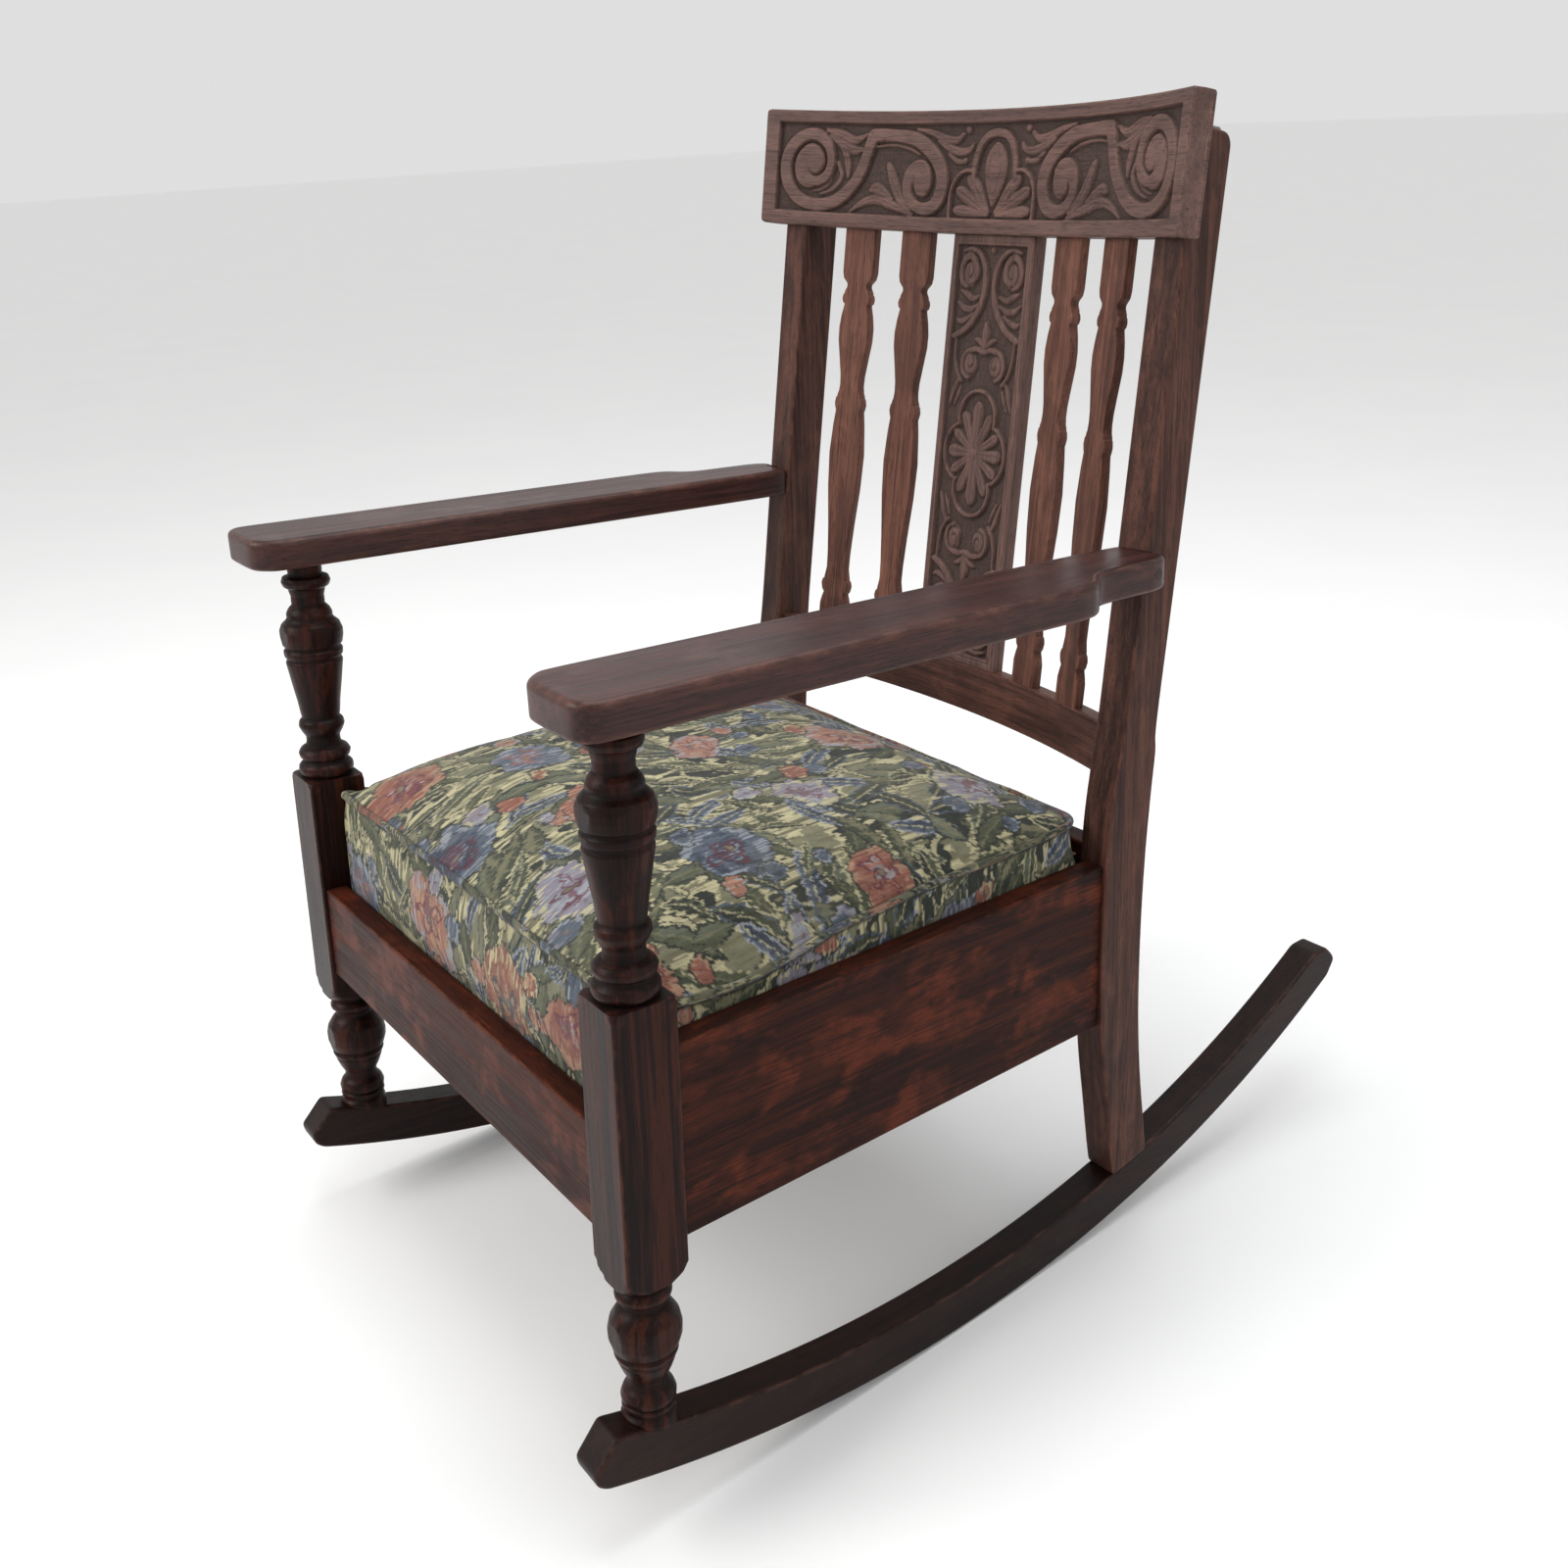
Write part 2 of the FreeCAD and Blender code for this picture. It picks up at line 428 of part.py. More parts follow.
# the cord lies half inside the outline, clear of the posts and rails
room = prism([(x, y, 380) for x, y in seat_plan(-0.9)], (0, 0, 60))
welt = welt.common(room).removeSplitter()
cover = cover.cut(welt)
pad = pad.cut(welt)
dust = prism([(x, y, cl - 0.0) for x, y in [(-236, 8), (236, 8), (226, 462), (-226, 462)]], (0, 0, 0.8))
for nm in ("f_front", "f_back", "f_left", "f_right"):
    pass
f_front, f_back, f_left, f_right = [x.cut(dust) for x in (f_front, f_back, f_left, f_right)]
panels = sorted(cover.Solids, key=lambda x: -x.BoundBox.ZMax)
cover_top = panels[0]
boxing = sorted(panels[1:], key=lambda x: -x.Volume)[0]
pad = sorted(pad.Solids, key=lambda x: -x.Volume)[0]
welt = sorted(welt.Solids, key=lambda x: -x.Volume)[0]

# ------------------------------------------------------------ pins, plugs and screws
dr, pr, scr = D("dowel_r"), D("plug_r"), D("screw_r")


def pin(x, y, z, d, r, length):
    d = V(*d)
    d.normalize()
    return Part.makeCylinder(r, length, V(x, y, z), d)


# draw pins through the front-rail and side-rail tenons inside the posts
pins = [pin(a - h + 6, -h + 2, 300, (0, 1, 0), dr, 18), pin(a - h + 6, -h + 2, 255, (0, 1, 0), dr, 18)]
pins = [p for p in pins] + [mirror(p) for p in pins]
crest_screws = []
for z in (455.0, 518.0):
    p = Part.makeCylinder(scr + 1.2, 34.0, V(b, 6.0 + 1.0, z), V(0, 1, 0))
    crest_screws.append(back(p))
    crest_screws.append(mirror(back(p)))
arm_plug = [Part.makeCylinder(pr, 6.0, V(b + 2, 490.0, 0), V(0, 0, 1))]
arm_screw_y = [455.0 + 33.0]
# screw through the arm tail into the side of each rear post, with a wood plug over its head
zs = au + at / 2 + D("arm_rise") * 490
screw_x = 293.0
arm_screws = [Part.makeCylinder(scr, 34.0, V(screw_x, 496.0, zs), V(-1, 0, 0))]
arm_plugs = [Part.makeCylinder(pr, 14.0, V(screw_x, 496.0, zs), V(1, 0, 0))]
foot_screws = [Part.makeCylinder(scr, 20.0, V(a - 0.0, 0.0, 34.0), V(0, 0, 1))]

post_left = post_left.cut(pins[0]).cut(pins[1])
front_rail = front_rail.cut(Part.makeCompound(pins))
for sc in crest_screws:
    rear_left = rear_left.cut(sc)
    crest = crest.cut(sc)
arm_left = arm_left.cut(arm_screws[0]).cut(arm_plugs[0])
arm_left = sorted(arm_left.Solids, key=lambda x: -x.Volume)[0]
plug = arm_plugs[0].common(arm.cut(arm_left)) if False else arm_plugs[0]
# plug is trimmed flush with the curved outer side of the arm tail
trim = prism([(x, y, zs - 12) for x, y in outline], (0, 0, 24))
plug = plug.common(trim)
rear_left = rear_left.cut(arm_screws[0])
cleat_screws = []
for y in (120.0, 250.0, 380.0):
    x0 = in_f(y) - cw + 2
    cleat_screws.append(pin(x0, y, cz + chh / 2, (1, -(sr - sf) / (475.0 - y0) * -1, 0), scr, 28))
cleat_side_c, side_c = cleat_side, side_left
for sc in cleat_screws:
    cleat_side_c = cleat_side_c.cut(sc)
    side_c = side_c.cut(sc)
cleat_side, side_left = cleat_side_c, side_c
all_cleat_screws = cleat_screws + [mirror(x) for x in cleat_screws]

# ------------------------------------------------------------ nodes
node("runner_left", runner_left)
node("runner_right", mirror(runner_left))
node("front_post_left", post_left)
node("front_post_right", mirror(post_left))
node("rear_post_left", rear_left)
node("rear_post_right", mirror(rear_left))
node("arm_left", arm_left)
node("arm_right", mirror(arm_left))
node("front_seat_rail", front_rail)
node("side_seat_rail_left", side_left)
node("side_seat_rail_right", mirror(side_left))
node("back_seat_rail", back_rail)
node("crest_rail", crest)
node("lower_back_rail", low_rail)
node("carved_splat", splat)
for n, body in slats_l:
    node(n, back(body))
node("cleat_left", cleat_side)
node("cleat_right", mirror(cleat_side))
node("cleat_front", cleat_front)
node("cleat_back", cleat_back)
node("corner_blocks", blocks, 4)
node("seat_frame_front", f_front)
node("seat_frame_back", f_back)
node("seat_frame_left", f_left)
node("seat_frame_right", f_right)
node("webbing_lengthwise", Part.makeCompound(long_straps), 3)
node("webbing_crosswise", Part.makeCompound(cross_straps), 3)
node("coil_springs", Part.makeCompound(springs), 9)
node("spring_burlap", burlap)
node("stuffing_pad", pad)
node("seat_cover_top", cover_top)
node("seat_boxing", boxing)
node("seat_welt", welt)
node("dust_cover", dust)
node("draw_pins", Part.makeCompound(pins), len(pins))
node("crest_screws", Part.makeCompound(crest_screws), len(crest_screws))
node("arm_screws", Part.makeCompound([arm_screws[0], mirror(arm_screws[0])]), 2)
node("arm_plugs", Part.makeCompound([plug, mirror(plug)]), 2)
node("cleat_screws", Part.makeCompound(all_cleat_screws), len(all_cleat_screws))

doc.recompute()
for ob in made:
    if any(x in ob.State for x in ("Invalid", "Error")):
        raise RuntimeError("bad state: " + ob.Label)
    if ob.Shape.isNull() or not ob.Shape.isValid():
        raise RuntimeError("bad shape: " + ob.Label)
    ob.Shape.exportStep("parts/%s.step" % ob.Label)
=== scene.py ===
import math

import bmesh
import bpy
import numpy as np
from mathutils import Matrix, Vector
from mathutils.geometry import delaunay_2d_cdt
from mathutils.kdtree import KDTree


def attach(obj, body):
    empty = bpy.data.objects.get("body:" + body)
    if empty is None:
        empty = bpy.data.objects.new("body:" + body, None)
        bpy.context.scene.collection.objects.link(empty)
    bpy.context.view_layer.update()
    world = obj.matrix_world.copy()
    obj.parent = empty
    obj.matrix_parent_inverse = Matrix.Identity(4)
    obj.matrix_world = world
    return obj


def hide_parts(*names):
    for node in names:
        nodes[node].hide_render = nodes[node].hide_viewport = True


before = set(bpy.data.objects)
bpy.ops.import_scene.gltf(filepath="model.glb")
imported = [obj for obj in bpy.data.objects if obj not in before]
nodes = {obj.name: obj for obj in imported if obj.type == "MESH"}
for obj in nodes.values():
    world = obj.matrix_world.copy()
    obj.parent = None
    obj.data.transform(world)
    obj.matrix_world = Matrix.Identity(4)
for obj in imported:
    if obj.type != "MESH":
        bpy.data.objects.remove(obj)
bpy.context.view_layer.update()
scene = bpy.context.scene

# ------------------------------------------------------------------ frames
# Pieces are drawn in mm in the chair's own square frame (front posts upright,
# y = 0 on their line) and carried to the standing frame, as the CAD does.
TILT, SHIFT_Y, ARC_Y, ARC_Z = math.radians(4.06), -326.1, 257.2, 1057.2
RHO = math.atan(0.1086)
R_OUT, R_IN = 1057.2, 1015.7


def turn_x(a):
    c, s = math.cos(a), math.sin(a)
    return np.array([[1, 0, 0], [0, c, s], [0, -s, c]])


RT, RB = turn_x(TILT), turn_x(RHO)
CEN = np.array([0.0, ARC_Y, ARC_Z])
BACK_AT = np.array([0.0, 486.9, 490.6])


def stand(p):
    return ((np.asarray(p, float) - CEN) @ RT.T + CEN + np.array([0, SHIFT_Y, 0])) * 0.001


def raked(p):
    return np.asarray(p, float) @ RB.T + BACK_AT


def xyz(x, y, z):
    x, y, z = np.broadcast_arrays(np.asarray(x, float), np.asarray(y, float), np.asarray(z, float))
    return np.stack([x.ravel(), y.ravel(), z.ravel()], 1)


# ------------------------------------------------------------------ curve helpers
def spline(pts, step=0.8):
    p = np.array(pts, float)
    e = np.vstack([2 * p[0] - p[1], p, 2 * p[-1] - p[-2]])
    out = []
    for i in range(1, len(e) - 2):
        a, b, c, d = e[i - 1], e[i], e[i + 1], e[i + 2]
        n = max(2, int(np.linalg.norm((c - b)[:2]) / step) + 1)
        t = np.linspace(0, 1, n, endpoint=False)[:, None]
        out.append(0.5 * (2 * b + (c - a) * t + (2 * a - 5 * b + 4 * c - d) * t ** 2 + (3 * b - a - 3 * c + d) * t ** 3))
    out.append(p[-1:])
    return np.vstack(out)


def resample(p, step, closed=False):
    p = np.array(p, float)
    if closed:
        p = np.vstack([p, p[:1]])
    seg = np.linalg.norm(np.diff(p, axis=0), axis=1)
    keep = np.concatenate([[True], seg > 1e-9])
    p = p[keep]
    s = np.concatenate([[0], np.cumsum(np.linalg.norm(np.diff(p, axis=0), axis=1))])
    n = max(4, int(round(s[-1] / step)))
    t = np.linspace(0, s[-1], n + 1)
    q = np.stack([np.interp(t, s, p[:, k]) for k in range(p.shape[1])], 1)
    return q[:-1] if closed else q


def blur_line(a, sigma, closed=False):
    """Gaussian smoothing of the rows of a; open lines keep their ends."""
    if sigma <= 0:
        return a
    n = int(math.ceil(3 * sigma))
    k = np.exp(-0.5 * (np.arange(-n, n + 1) / sigma) ** 2)
    k /= k.sum()
    if closed:
        pad = np.vstack([a[-n:], a, a[:n]])
    else:
        pad = np.vstack([2 * a[0] - a[n:0:-1], a, 2 * a[-1] - a[-2:-n - 2:-1]])
    return np.stack([np.convolve(pad[:, c], k, mode="valid") for c in range(a.shape[1])], 1)


def ccw(p):
    x, y = p[:, 0], p[:, 1]
    return p if np.sum(x * np.roll(y, -1) - np.roll(x, -1) * y) > 0 else p[::-1]


def outline(pts, step=2.0, sigma=1.2):
    return ccw(blur_line(resample(pts, step, True), sigma, True))


def inset(p, d):
    t = np.roll(p, -1, 0) - np.roll(p, 1, 0)
    t /= np.linalg.norm(t, axis=1)[:, None] + 1e-12
    return p + d * np.stack([-t[:, 1], t[:, 0]], 1)


# ------------------------------------------------------------------ mesh helpers
MATS = {}
SEED = [11]


def volume(co, quads, ngons):
    v = 0.0
    if len(quads):
        a, b, c, d = (co[quads[:, k]] for k in range(4))
        v += np.einsum("ij,ij->i", a, np.cross(b, c)).sum() + np.einsum("ij,ij->i", a, np.cross(c, d)).sum()
    for g in ngons:
        p = co[np.asarray(g)]
        v += np.einsum("ij,ij->i", np.repeat(p[:1], len(p) - 2, 0), np.cross(p[1:-1], p[2:])).sum()
    return v


def build(name, co, quads, ngons=(), grain=None, rubbing_and_highlight=None, soil_and_shade=None, tone=0.0, mat=None, slot="stained_oak", body="chair_frame",
          replaces=(), sharp=38, extra=None, ready=False):
    """A mesh piece from points (mm, square frame, or ready standing metres), quads and larger faces."""
    co = np.asarray(co, float) if ready else stand(co)
    quads = np.asarray(quads, int).reshape(-1, 4)
    ngons = [np.asarray(g, int) for g in ngons]
    if volume(co, quads, ngons) < 0:
        quads = quads[:, ::-1]
        ngons = [g[::-1] for g in ngons]
    me = bpy.data.meshes.new(name)
    counts = np.array([4] * len(quads) + [len(g) for g in ngons])
    loops = np.concatenate([quads.ravel()] + list(ngons)).astype(np.int32)
    starts = np.concatenate([[0], np.cumsum(counts)[:-1]]).astype(np.int32)
    me.vertices.add(len(co))
    me.vertices.foreach_set("co", co.astype(np.float32).ravel())
    me.loops.add(len(loops))
    me.loops.foreach_set("vertex_index", loops)
    me.polygons.add(len(counts))
    me.polygons.foreach_set("loop_start", starts)
    me.update(calc_edges=True)
    me.validate()
    me.polygons.foreach_set("use_smooth", np.ones(len(me.polygons), bool))
    if sharp:
        me.set_sharp_from_angle(angle=math.radians(sharp))
    n = len(co)
    if grain is not None:
        SEED[0] += 1
        r = np.random.default_rng(SEED[0])
        g = np.asarray(grain, float) * 0.001 + r.uniform(-3, 3, 3)
        at = me.attributes.new("gr", "FLOAT_VECTOR", "POINT")
        at.data.foreach_set("vector", g.astype(np.float32).ravel())
    for label, val in (("rubbing_and_highlight", rubbing_and_highlight), ("soil_and_shade", soil_and_shade), ("tone", tone)):
        if val is not None:
            at = me.attributes.new(label, "FLOAT", "POINT")
            at.data.foreach_set("value", np.broadcast_to(np.asarray(val, float), (n,)).astype(np.float32))
    ob = bpy.data.objects.new(name, me)
    scene.collection.objects.link(ob)
    if mat:
        me.materials.append(MATS[mat])
    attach(ob, body)
    if replaces:
        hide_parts(*replaces)
    return ob


def ring_quads(rings, n, first=0):
    q = []
    i = np.arange(n)
    j = (i + 1) % n
    for k in range(rings - 1):
        a, b = first + k * n, first + (k + 1) * n
        q.append(np.stack([a + i, a + j, b + j, b + i], 1))
    return np.vstack(q)


def fill_face(loop, spacing=9.0):
    """Points and triangles that fill a closed outline evenly; the outline's own points come first."""
    lo, hi = loop.min(0), loop.max(0)
    gx = np.arange(lo[0] + spacing * 0.5, hi[0], spacing)
    gy = np.arange(lo[1] + spacing * 0.5, hi[1], spacing)
    g = np.stack(np.meshgrid(gx, gy), -1).reshape(-1, 2)
    a, b = loop, np.roll(loop, -1, 0)
    keep = np.zeros(len(g), bool)
    if len(g):
        cross = (a[None, :, 1] > g[:, None, 1]) != (b[None, :, 1] > g[:, None, 1])
        xi = a[None, :, 0] + (g[:, None, 1] - a[None, :, 1]) * (b - a)[None, :, 0] / np.where((b - a)[None, :, 1] == 0, 1e-12, (b - a)[None, :, 1])
        inside = (cross & (g[:, None, 0] < xi)).sum(1) % 2 == 1
        near = np.hypot(g[:, None, 0] - a[None, :, 0], g[:, None, 1] - a[None, :, 1]).min(1) > spacing * 0.45
        keep = inside & near
    pts = np.vstack([loop, g[keep]])
    n = len(loop)
    vs, es, fs, ov, oe, of = delaunay_2d_cdt([Vector((float(x), float(y))) for x, y in pts], [(i, (i + 1) % n) for i in range(n)], [], 1, 1e-5)
    back = {}
    for k, src in enumerate(ov):
        if not src:
            return pts[:n], []
        back[k] = src[0]
    return pts, [[back[i] for i in f] for f in fs]


def prism(name, line, thick, r, place, grain, tone=0.0, rubbing_highlight_gain=1.0, r2=None, **kw):
    """A board sawn to an outline, with eased edges. line is (u, v) closed; place(u, v, w) gives points."""
    r2 = r if r2 is None else r2
    rows = []
    for rr, w_of, order in ((r, lambda d: d, 1), (r2, lambda d: thick - d, -1)):
        part = [(rr + 0.25, w_of(0.0), 0.0), (rr, w_of(0.0), 0.25)]
        k = 3 if rr < 3 else 5
        for m in range(1, k):
            a = math.pi / 2 * m / k
            part.append((rr * (1 - math.sin(a)), w_of(rr * (1 - math.cos(a))), math.sin(2 * a)))
        part += [(0.0, w_of(rr), 0.25), (0.0, w_of(rr + 0.5), 0.0)]
        rows.append(part if order == 1 else part[::-1])
    rows = rows[0] + [(0.0, thick / 2, 0.0)] + rows[1]
    n = len(line)
    co, gr, rubbing_and_highlight = [], [], []
    for d, w, x in rows:
        p = inset(line, d) if d > 0 else line
        co.append(place(p[:, 0], p[:, 1], np.full(n, w)))
        gr.append(grain(p[:, 0], p[:, 1], np.full(n, w)))
        rubbing_and_highlight.append(np.full(n, x * rubbing_highlight_gain))
    quads = ring_quads(len(rows), n)
    caps = []
    total = len(rows) * n
    for first, d, w, flip in ((0, rows[0][0], rows[0][1], True), ((len(rows) - 1) * n, rows[-1][0], rows[-1][1], False)):
        loop = inset(line, d)
        pts, tris = fill_face(loop)
        if not tris:
            caps.append(first + np.arange(n)[::-1] if flip else first + np.arange(n))
            continue
        extra = pts[n:]
        co.append(place(extra[:, 0], extra[:, 1], np.full(len(extra), w)))
        gr.append(grain(extra[:, 0], extra[:, 1], np.full(len(extra), w)))
        rubbing_and_highlight.append(np.zeros(len(extra)))
        ids = np.concatenate([first + np.arange(n), total + np.arange(len(extra))])
        total += len(extra)
        for f in tris:
            q = ids[f]
            area = np.sum(pts[f][:, 0] * np.roll(pts[f][:, 1], -1) - np.roll(pts[f][:, 0], -1) * pts[f][:, 1])
            if (area > 0) == flip:
                q = q[::-1]
            caps.append(q)
    return build(name, np.vstack(co), quads, caps, grain=np.vstack(gr), rubbing_and_highlight=np.concatenate(rubbing_and_highlight), soil_and_shade=0.0, tone=tone, **kw)


# ------------------------------------------------------------------ node helpers
def lin(r, g, b):
    out = []
    for c in (r, g, b):
        c /= 255.0
        out.append(c / 12.92 if c <= 0.04045 else ((c + 0.055) / 1.055) ** 2.4)
    return (*out, 1.0)


class Graph:
    def __init__(self, name):
        self.mat = bpy.data.materials.new(name)
        self.mat.use_nodes = True
        self.t = self.mat.node_tree
        self.t.nodes.clear()
        self.out = self.t.nodes.new("ShaderNodeOutputMaterial")
        self.bsdf = self.t.nodes.new("ShaderNodeBsdfPrincipled")
        self.t.links.new(self.bsdf.outputs[0], self.out.inputs[0])
        MATS[name] = self.mat

    def put(self, sock, val):
        if isinstance(val, bpy.types.NodeSocket):
            self.t.links.new(val, sock)
        elif val is not None:
            sock.default_value = val

    def attr(self, name, kind="Fac"):
        n = self.t.nodes.new("ShaderNodeAttribute")
        n.attribute_name = name
        return n.outputs[kind]

    def obj(self):
        return self.t.nodes.new("ShaderNodeTexCoord").outputs["Object"]

    def scale(self, vec, s, rot=(0, 0, 0), loc=(0, 0, 0)):
        n = self.t.nodes.new("ShaderNodeMapping")
        self.put(n.inputs["Vector"], vec)
        n.inputs["Scale"].default_value = s
        n.inputs["Rotation"].default_value = rot
        n.inputs["Location"].default_value = loc
        return n.outputs[0]

    def noise(self, vec, scale=1.0, detail=2.0, rough=0.5, distort=0.0, out="Fac"):
        n = self.t.nodes.new("ShaderNodeTexNoise")
        self.put(n.inputs["Vector"], vec)
        n.inputs["Scale"].default_value = scale
        n.inputs["Detail"].default_value = detail
        n.inputs["Roughness"].default_value = rough
        n.inputs["Distortion"].default_value = distort
        return n.outputs[out]

    def ramp(self, fac, lo, hi, a=0.0, b=1.0):
        n = self.t.nodes.new("ShaderNodeMapRange")
        n.clamp = True
        n.interpolation_type = "SMOOTHSTEP"
        self.put(n.inputs["Value"], fac)
        for k, v in (("From Min", lo), ("From Max", hi), ("To Min", a), ("To Max", b)):
            n.inputs[k].default_value = v
        return n.outputs[0]

    def math(self, op, a, b=None, clamp=False):
        n = self.t.nodes.new("ShaderNodeMath")
        n.operation = op
        n.use_clamp = clamp
        self.put(n.inputs[0], a)
        self.put(n.inputs[1], b)
        return n.outputs[0]

    def mix(self, fac, a, b, mode="MIX"):
        n = self.t.nodes.new("ShaderNodeMix")
        n.data_type = "RGBA"
        n.blend_type = mode
        self.put(n.inputs[0], fac)
        self.put(n.inputs[6], a)
        self.put(n.inputs[7], b)
        return n.outputs[2]

    def bump(self, height, strength, distance, normal=None):
        n = self.t.nodes.new("ShaderNodeBump")
        n.inputs["Strength"].default_value = strength
        n.inputs["Distance"].default_value = distance
        self.put(n.inputs["Height"], height)
        self.put(n.inputs["Normal"], normal)
        return n.outputs[0]

    def wave(self, vec, scale, kind="BANDS", direction="X", distort=0.0, detail=0.0):
        n = self.t.nodes.new("ShaderNodeTexWave")
        n.wave_type = kind
        n.bands_direction = direction
        self.put(n.inputs["Vector"], vec)
        n.inputs["Scale"].default_value = scale
        n.inputs["Distortion"].default_value = distort
        n.inputs["Detail"].default_value = detail
        return n.outputs["Fac"]


def oak(name, dark, mid, light, rubbed_highlight_colour, soil_shade_colour, fleck=0.0, stripe=0.0, rough=(0.34, 0.5), coat=0.05, spec=0.22, attrs=True):
    """Stained oak: figure, grain lines, open pores, ray flecks, uneven stain, edges lightened partly by rubbing and
    partly as painted highlight, hollows darkened partly by soil and partly as painted shade.
    """
    g = Graph(name)
    vec = g.attr("gr", "Vector") if attrs else g.obj()
    figure = g.noise(g.scale(vec, (2.2, 46, 46)), 1.0, 3.0, 0.55, 0.5)
    broad = g.noise(g.scale(vec, (3.4, 95, 95)), 1.0, 2.0, 0.5, 0.8)
    lines = g.noise(g.scale(vec, (11.0, 420, 420)), 1.0, 3.0, 0.6, 0.2)
    pores = g.ramp(g.noise(g.scale(vec, (62, 1500, 1500)), 1.0, 2.0, 0.55), 0.54, 0.66)
    blotch = g.noise(g.scale(vec, (6, 14, 14)), 1.0, 3.0, 0.6)
    c = g.mix(g.ramp(figure, 0.36, 0.64), lin(*dark), lin(*mid))
    if stripe:
        c = g.mix(g.math("MULTIPLY", g.ramp(broad, 0.50, 0.60), stripe), c, lin(*light))
        c = g.mix(g.math("MULTIPLY", g.ramp(broad, 0.46, 0.38), stripe), c, lin(*[v * 0.62 for v in dark]))
    c = g.mix(g.math("MULTIPLY", g.ramp(lines, 0.50, 0.72), 0.45), c, lin(*light))
    c = g.mix(g.math("MULTIPLY", g.ramp(lines, 0.48, 0.30), 0.60), c, lin(*[v * 0.55 for v in dark]))
    if attrs:
        t = g.attr("tone")
        c = g.mix(g.math("MAXIMUM", t, 0.0), c, lin(*light))
        c = g.mix(g.math("MAXIMUM", g.math("MULTIPLY", t, -1.0), 0.0), c, lin(*[v * 0.7 for v in dark]))
    c = g.mix(g.math("MULTIPLY", g.ramp(blotch, 0.45, 0.70), 0.45), c, lin(*[dark[0] * 0.84, dark[1] * 0.9, dark[2] * 0.95]))
    rg = g.ramp(lines, 0.3, 0.7, rough[0], rough[1])
    if fleck:
        f1 = g.noise(g.scale(vec, (15, 27, 27), (0, 0, 0.35)), 1.0, 3.0, 0.60, 0.25)
        f2 = g.noise(g.scale(vec, (52, 34, 34), (0, 0, 0.9)), 1.0, 3.0, 0.60, 0.2)
        f = g.math("MULTIPLY", g.ramp(f1, 0.49, 0.64), g.ramp(f2, 0.36, 0.60, 0.40, 1.0))
        f = g.math("MULTIPLY", f, g.ramp(lines, 0.36, 0.50, 0.45, 1.0))
        c = g.mix(g.math("MULTIPLY", f, fleck), c, lin(*[min(255, v * 1.22) for v in light]))
        dk = g.ramp(g.noise(g.scale(vec, (19, 30, 30), (0, 0, -0.3), (3, 5, 1)), 1.0, 3.0, 0.6, 0.8), 0.58, 0.68)
        c = g.mix(g.math("MULTIPLY", dk, fleck * 0.8), c, lin(*[v * 0.6 for v in dark]))
        rg = g.math("SUBTRACT", rg, g.math("MULTIPLY", f, 0.06))
    c = g.mix(g.math("MULTIPLY", pores, 0.62), c, lin(*[v * 0.36 for v in dark]))
    height = g.math("SUBTRACT", g.math("MULTIPLY", lines, 0.30), g.math("MULTIPLY", pores, 0.8))
    if attrs:
        # lighter rubbed colour on edges, proud rings and relief crests: partly real rubbing, partly painted highlight
        rub = g.noise(g.scale(vec, (40, 110, 110)), 1.0, 4.0, 0.7)
        w = g.math("MULTIPLY", g.attr("rubbing_and_highlight"), g.ramp(rub, 0.42, 0.66, 0.04, 0.62), clamp=True)
        c = g.mix(w, c, lin(*rubbed_highlight_colour))
        # darker colour in hollows, notches and the sunk field: partly soil, partly painted shade
        d = g.attr("soil_and_shade")
        speck = g.noise(g.scale(vec, (420, 420, 420)), 1.0, 2.0, 0.6)
        dd = g.math("MULTIPLY", d, g.ramp(speck, 0.30, 0.62, 1.0, 0.72), clamp=True)
        c = g.mix(dd, c, lin(*soil_shade_colour))
        rg = g.math("ADD", rg, g.math("MULTIPLY", d, 0.30))
        height = g.math("ADD", height, g.math("MULTIPLY", g.math("MULTIPLY", speck, d), 1.6))
    g.put(g.bsdf.inputs["Base Color"], c)
    g.put(g.bsdf.inputs["Roughness"], rg)
    g.bsdf.inputs["Specular IOR Level"].default_value = spec
    g.bsdf.inputs["Coat Weight"].default_value = coat
    g.bsdf.inputs["Coat Roughness"].default_value = 0.25
    g.put(g.bsdf.inputs["Normal"], g.bump(height, 0.25, 0.0004))
    return g.mat


# colour of rubbed edges with painted highlight, and of hollows with painted shade
RUBBED_HIGHLIGHT, SOIL_SHADE = (96, 58, 42), (24, 18, 17)
oak("oak_posts", (26, 13, 11), (40, 20, 15), (62, 29, 20), (104, 62, 48), (15, 10, 9), 0.0, 0.75, (0.28, 0.42), 0.03, 0.09)
oak("oak_rails", (36, 18, 14), (56, 27, 19), (84, 38, 23), (118, 70, 48), SOIL_SHADE, 0.62, 0.25, (0.40, 0.56), 0.01, 0.07)
oak("oak_arms", (48, 27, 24), (66, 38, 33), (86, 49, 41), (112, 74, 60), SOIL_SHADE, 0.16, 0.3, (0.32, 0.46), 0.08, 0.22)
